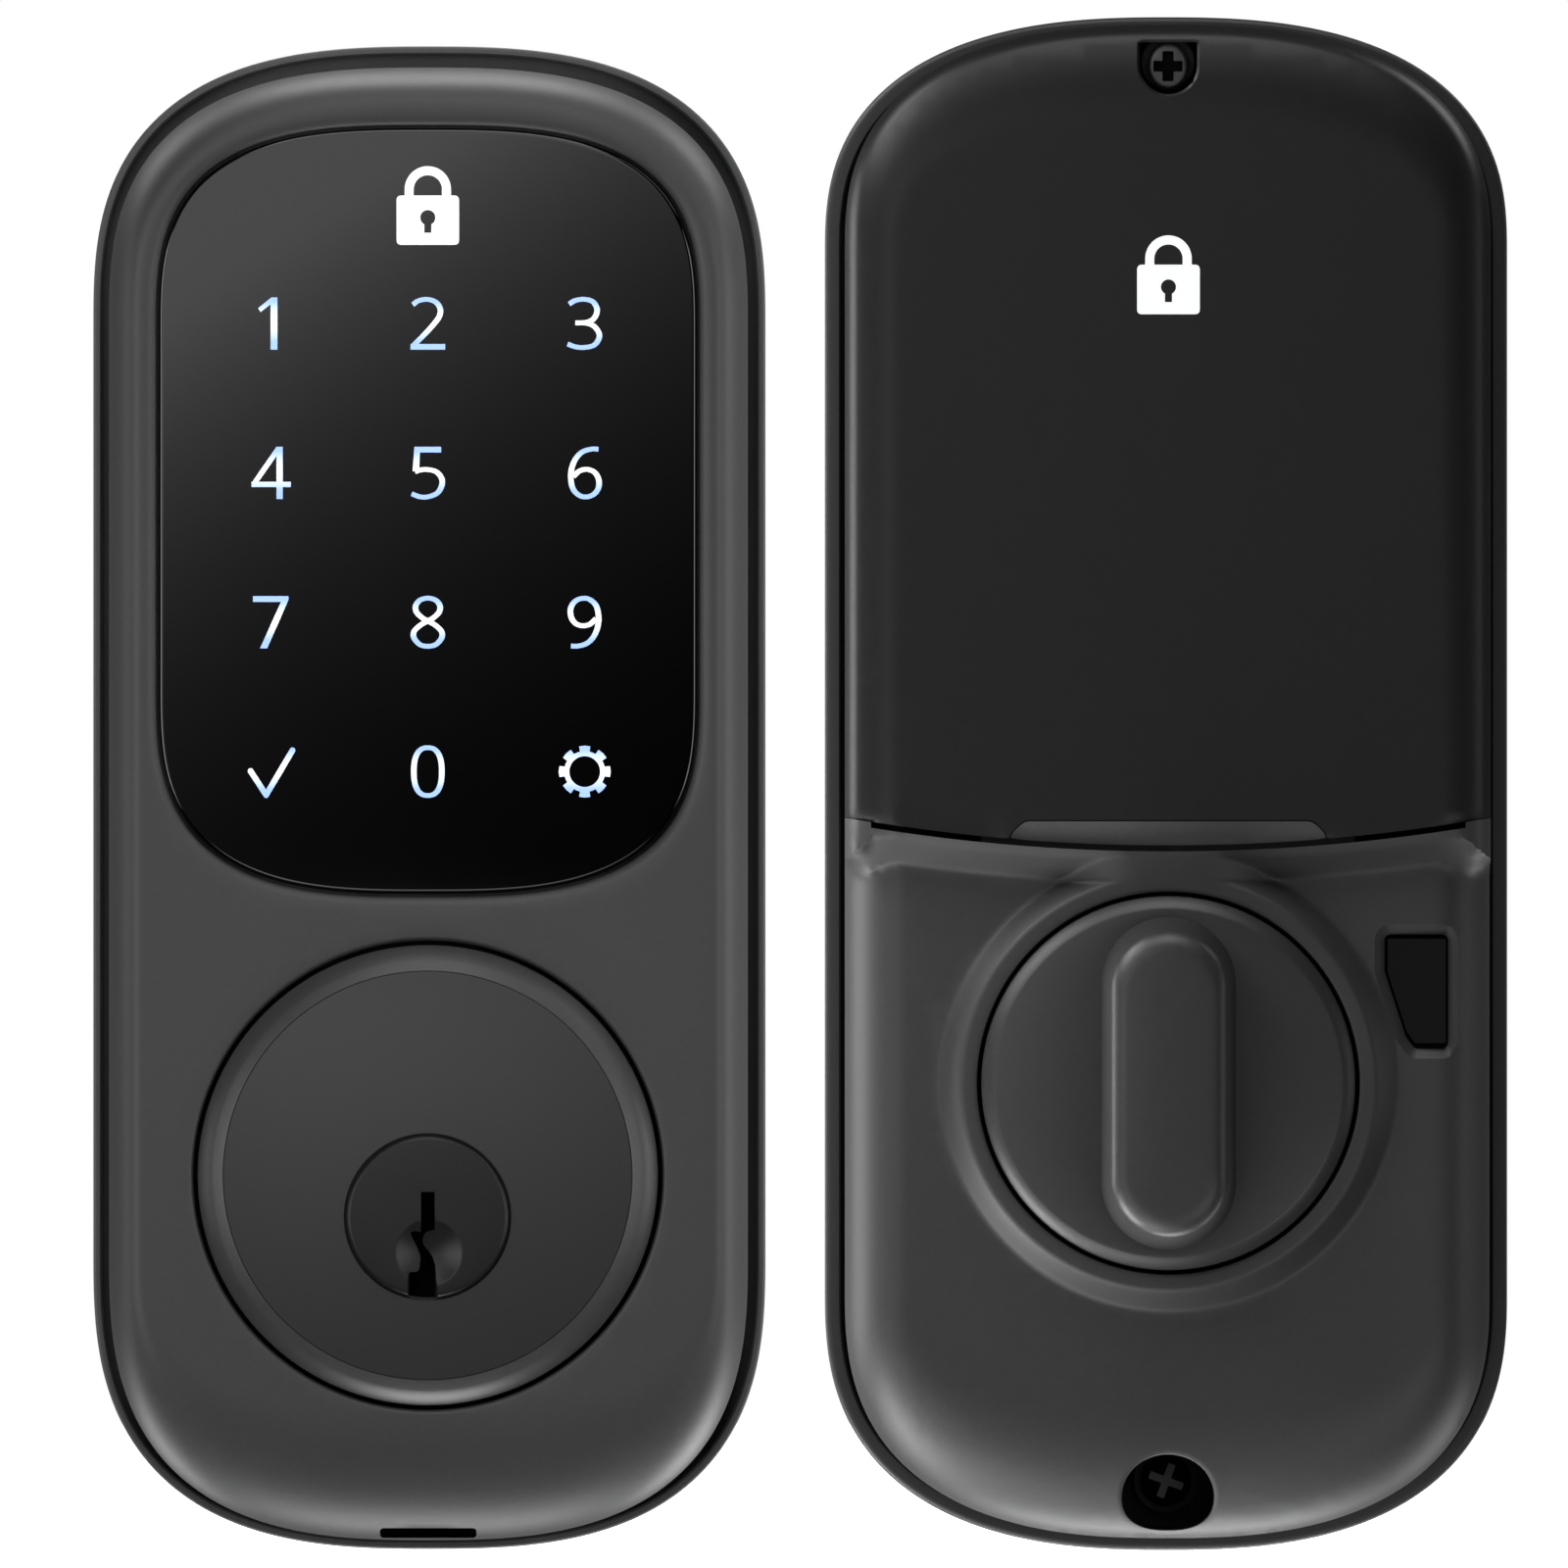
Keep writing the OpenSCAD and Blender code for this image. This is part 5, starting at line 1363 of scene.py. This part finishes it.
# panels that only reflections see: x0, x1, z0, z1, distance in front of the door, fade, brightest value
CARDS = {"glass_card": (-0.12, 0.05, -0.02, 0.2, 0.3, (-32.0, 50.0, -5.05), 1.7),
         "disc_card": (-0.03, 0.03, -0.03, 0.0295, 0.13, (-17.0, 56.0, -0.5), 2.5)}
SOFTBOX = 0.45
LIGHT_AWAY = 0.9
# turn, angle towards the camera and power of each lamp
LIGHTS = {
    "exterior_side": [(180, 48, 3.0), (0, 48, 2.4), (180, 0, 1.3), (0, 0, 2.2), (90, 48, 2.0), (270, 0, 7.3),
                      (90, -25, 4.7), (315, -25, 7.0), (45, -25, 2.8), (225, -25, 4.6), (90, 22, 1.1), (45, 22, 1.2),
                      (135, -25, 2.5)],
    "interior_side": [(225, 0, 9.4), (315, 48, 1.2), (135, 22, 3.6), (255, 22, 2.6), (225, 48, 1.0), (180, -25, 3.4),
                      (90, 22, 2.9), (0, 80, 0.3), (0, 0, 0.6), (45, -25, 2.4), (315, -25, 2.2), (135, 0, 3.8),
                      (270, -25, 6.3)],
}
# camera: width of the frame and distance in metres, and the point in the middle of the frame
FRAME_W = 0.156
AWAY = 4.0
SENSOR = 36
FRAME_MID = Vector((0.0353, -0.008, 0.04287))


def plate(name, corners, mat):
    mesh = bpy.data.meshes.new(name)
    mesh.from_pydata(corners, [], [(0, 1, 2, 3)])
    mesh.materials.append(mat)
    obj = bpy.data.objects.new(name, mesh)
    bpy.context.scene.collection.objects.link(obj)
    return obj


def lit_paper():
    m, tree, bsdf = material("pale_paper")
    shade = ramp(tree, noise(tree, 40, 2.0), [(0.3, (0.9, 0.9, 0.9)), (0.7, (0.94, 0.94, 0.94))])
    feed(tree, bsdf, Base_Color=shade, Emission_Color=shade, Emission_Strength=FLOOR_GLOW, Roughness=0.9,
         Specular_IOR_Level=0.1)
    return m


def card_glow(name, fade, top):
    """Glow of a panel = exp(a x + b z + c) in metres, never above top."""
    m, tree, bsdf = material(name)
    tree.nodes.remove(bsdf)
    a, b, c = fade
    across = math_node(tree, "MULTIPLY_ADD", along(tree, "X"), a, c)
    power = math_node(tree, "EXPONENT", math_node(tree, "MULTIPLY_ADD", along(tree), b, across))
    glow = new_node(tree, "Emission", Strength=math_node(tree, "MINIMUM", power, top))
    feed(tree, tree.nodes["Material Output"], Surface=glow.outputs["Emission"])
    return m


x0, x1, y0, y1 = FLOOR
z = cad_box[0][2] - FLOOR_GAP
floor = plate("floor", [(x0, y0, z), (x1, y0, z), (x1, y1, z), (x0, y1, z)], lit_paper())
floor.visible_diffuse = floor.visible_glossy = floor.visible_shadow = False
for name, (x0, x1, z0, z1, away, fade, top) in CARDS.items():
    corners = [(x0, -away, z0), (x1, -away, z0), (x1, -away, z1), (x0, -away, z1)]
    card = plate(name, corners, card_glow(name, fade, top))
    card.visible_camera = card.visible_diffuse = card.visible_transmission = card.visible_shadow = False


def module_sides():
    """Meshes of each module with the module's middle: the two are lit one at a time, like two product shots."""
    divide = (EXT_SPAN[0][1] + INT.x + INT_SPAN[0][0]) / 2 * MM
    sides = []
    for name, place, right in (("exterior_side", EXT, False), ("interior_side", INT, True)):
        group = bpy.data.collections.new(name)
        for obj in bpy.context.scene.objects:
            if obj.type == "MESH" and (np.mean([corner[0] for corner in obj.bound_box]) > divide) == right:
                group.objects.link(obj)
        sides.append((name, group, Vector((place.x, -12, place.y)) * MM))
    return sides


def softbox(name, group, middle, turn, forward, power):
    """Soft light around one module: turn runs from +X towards +Z, forward is the angle towards the camera."""
    data = bpy.data.lights.new(name, "AREA")
    data.energy = power
    data.size = SOFTBOX
    obj = bpy.data.objects.new(name, data)
    turn, forward = math.radians(turn), math.radians(forward)
    way = Vector((math.cos(turn) * math.cos(forward), -math.sin(forward), math.sin(turn) * math.cos(forward)))
    obj.location = middle + way * LIGHT_AWAY
    obj.rotation_euler = (-way).to_track_quat("-Z", "Y").to_euler()
    obj.visible_camera = False
    obj.light_linking.receiver_collection = group
    obj.light_linking.blocker_collection = group
    bpy.context.scene.collection.objects.link(obj)


for name, group, middle in module_sides():
    for turn, forward, power in LIGHTS[name]:
        softbox("soft_light", group, middle, turn, forward, power)

world = bpy.data.worlds.new("studio")
world.use_nodes = True
tree = world.node_tree
sky = tree.nodes["Background"]
feed(tree, sky, Color=(1, 1, 1, 1))
ambient = new_node(tree, "Background", Color=(0.004, 0.004, 0.004, 1))
seen = new_node(tree, "LightPath").outputs["Is Camera Ray"]
choose = new_node(tree, "MixShader", _0=seen, _1=ambient.outputs[0], _2=sky.outputs[0])
feed(tree, tree.nodes["World Output"], Surface=choose.outputs[0])
bpy.context.scene.world = world
bpy.context.scene.view_settings.view_transform = "Standard"

camera_data = bpy.data.cameras.new("camera")
camera = bpy.data.objects.new("camera", camera_data)
bpy.context.scene.collection.objects.link(camera)
camera.location = FRAME_MID + Vector((0, -AWAY, 0))
camera.rotation_euler = (math.pi / 2, 0, 0)
camera_data.sensor_width = SENSOR
camera_data.lens = SENSOR * AWAY / FRAME_W
camera_data.clip_end = 30
bpy.context.scene.camera = camera
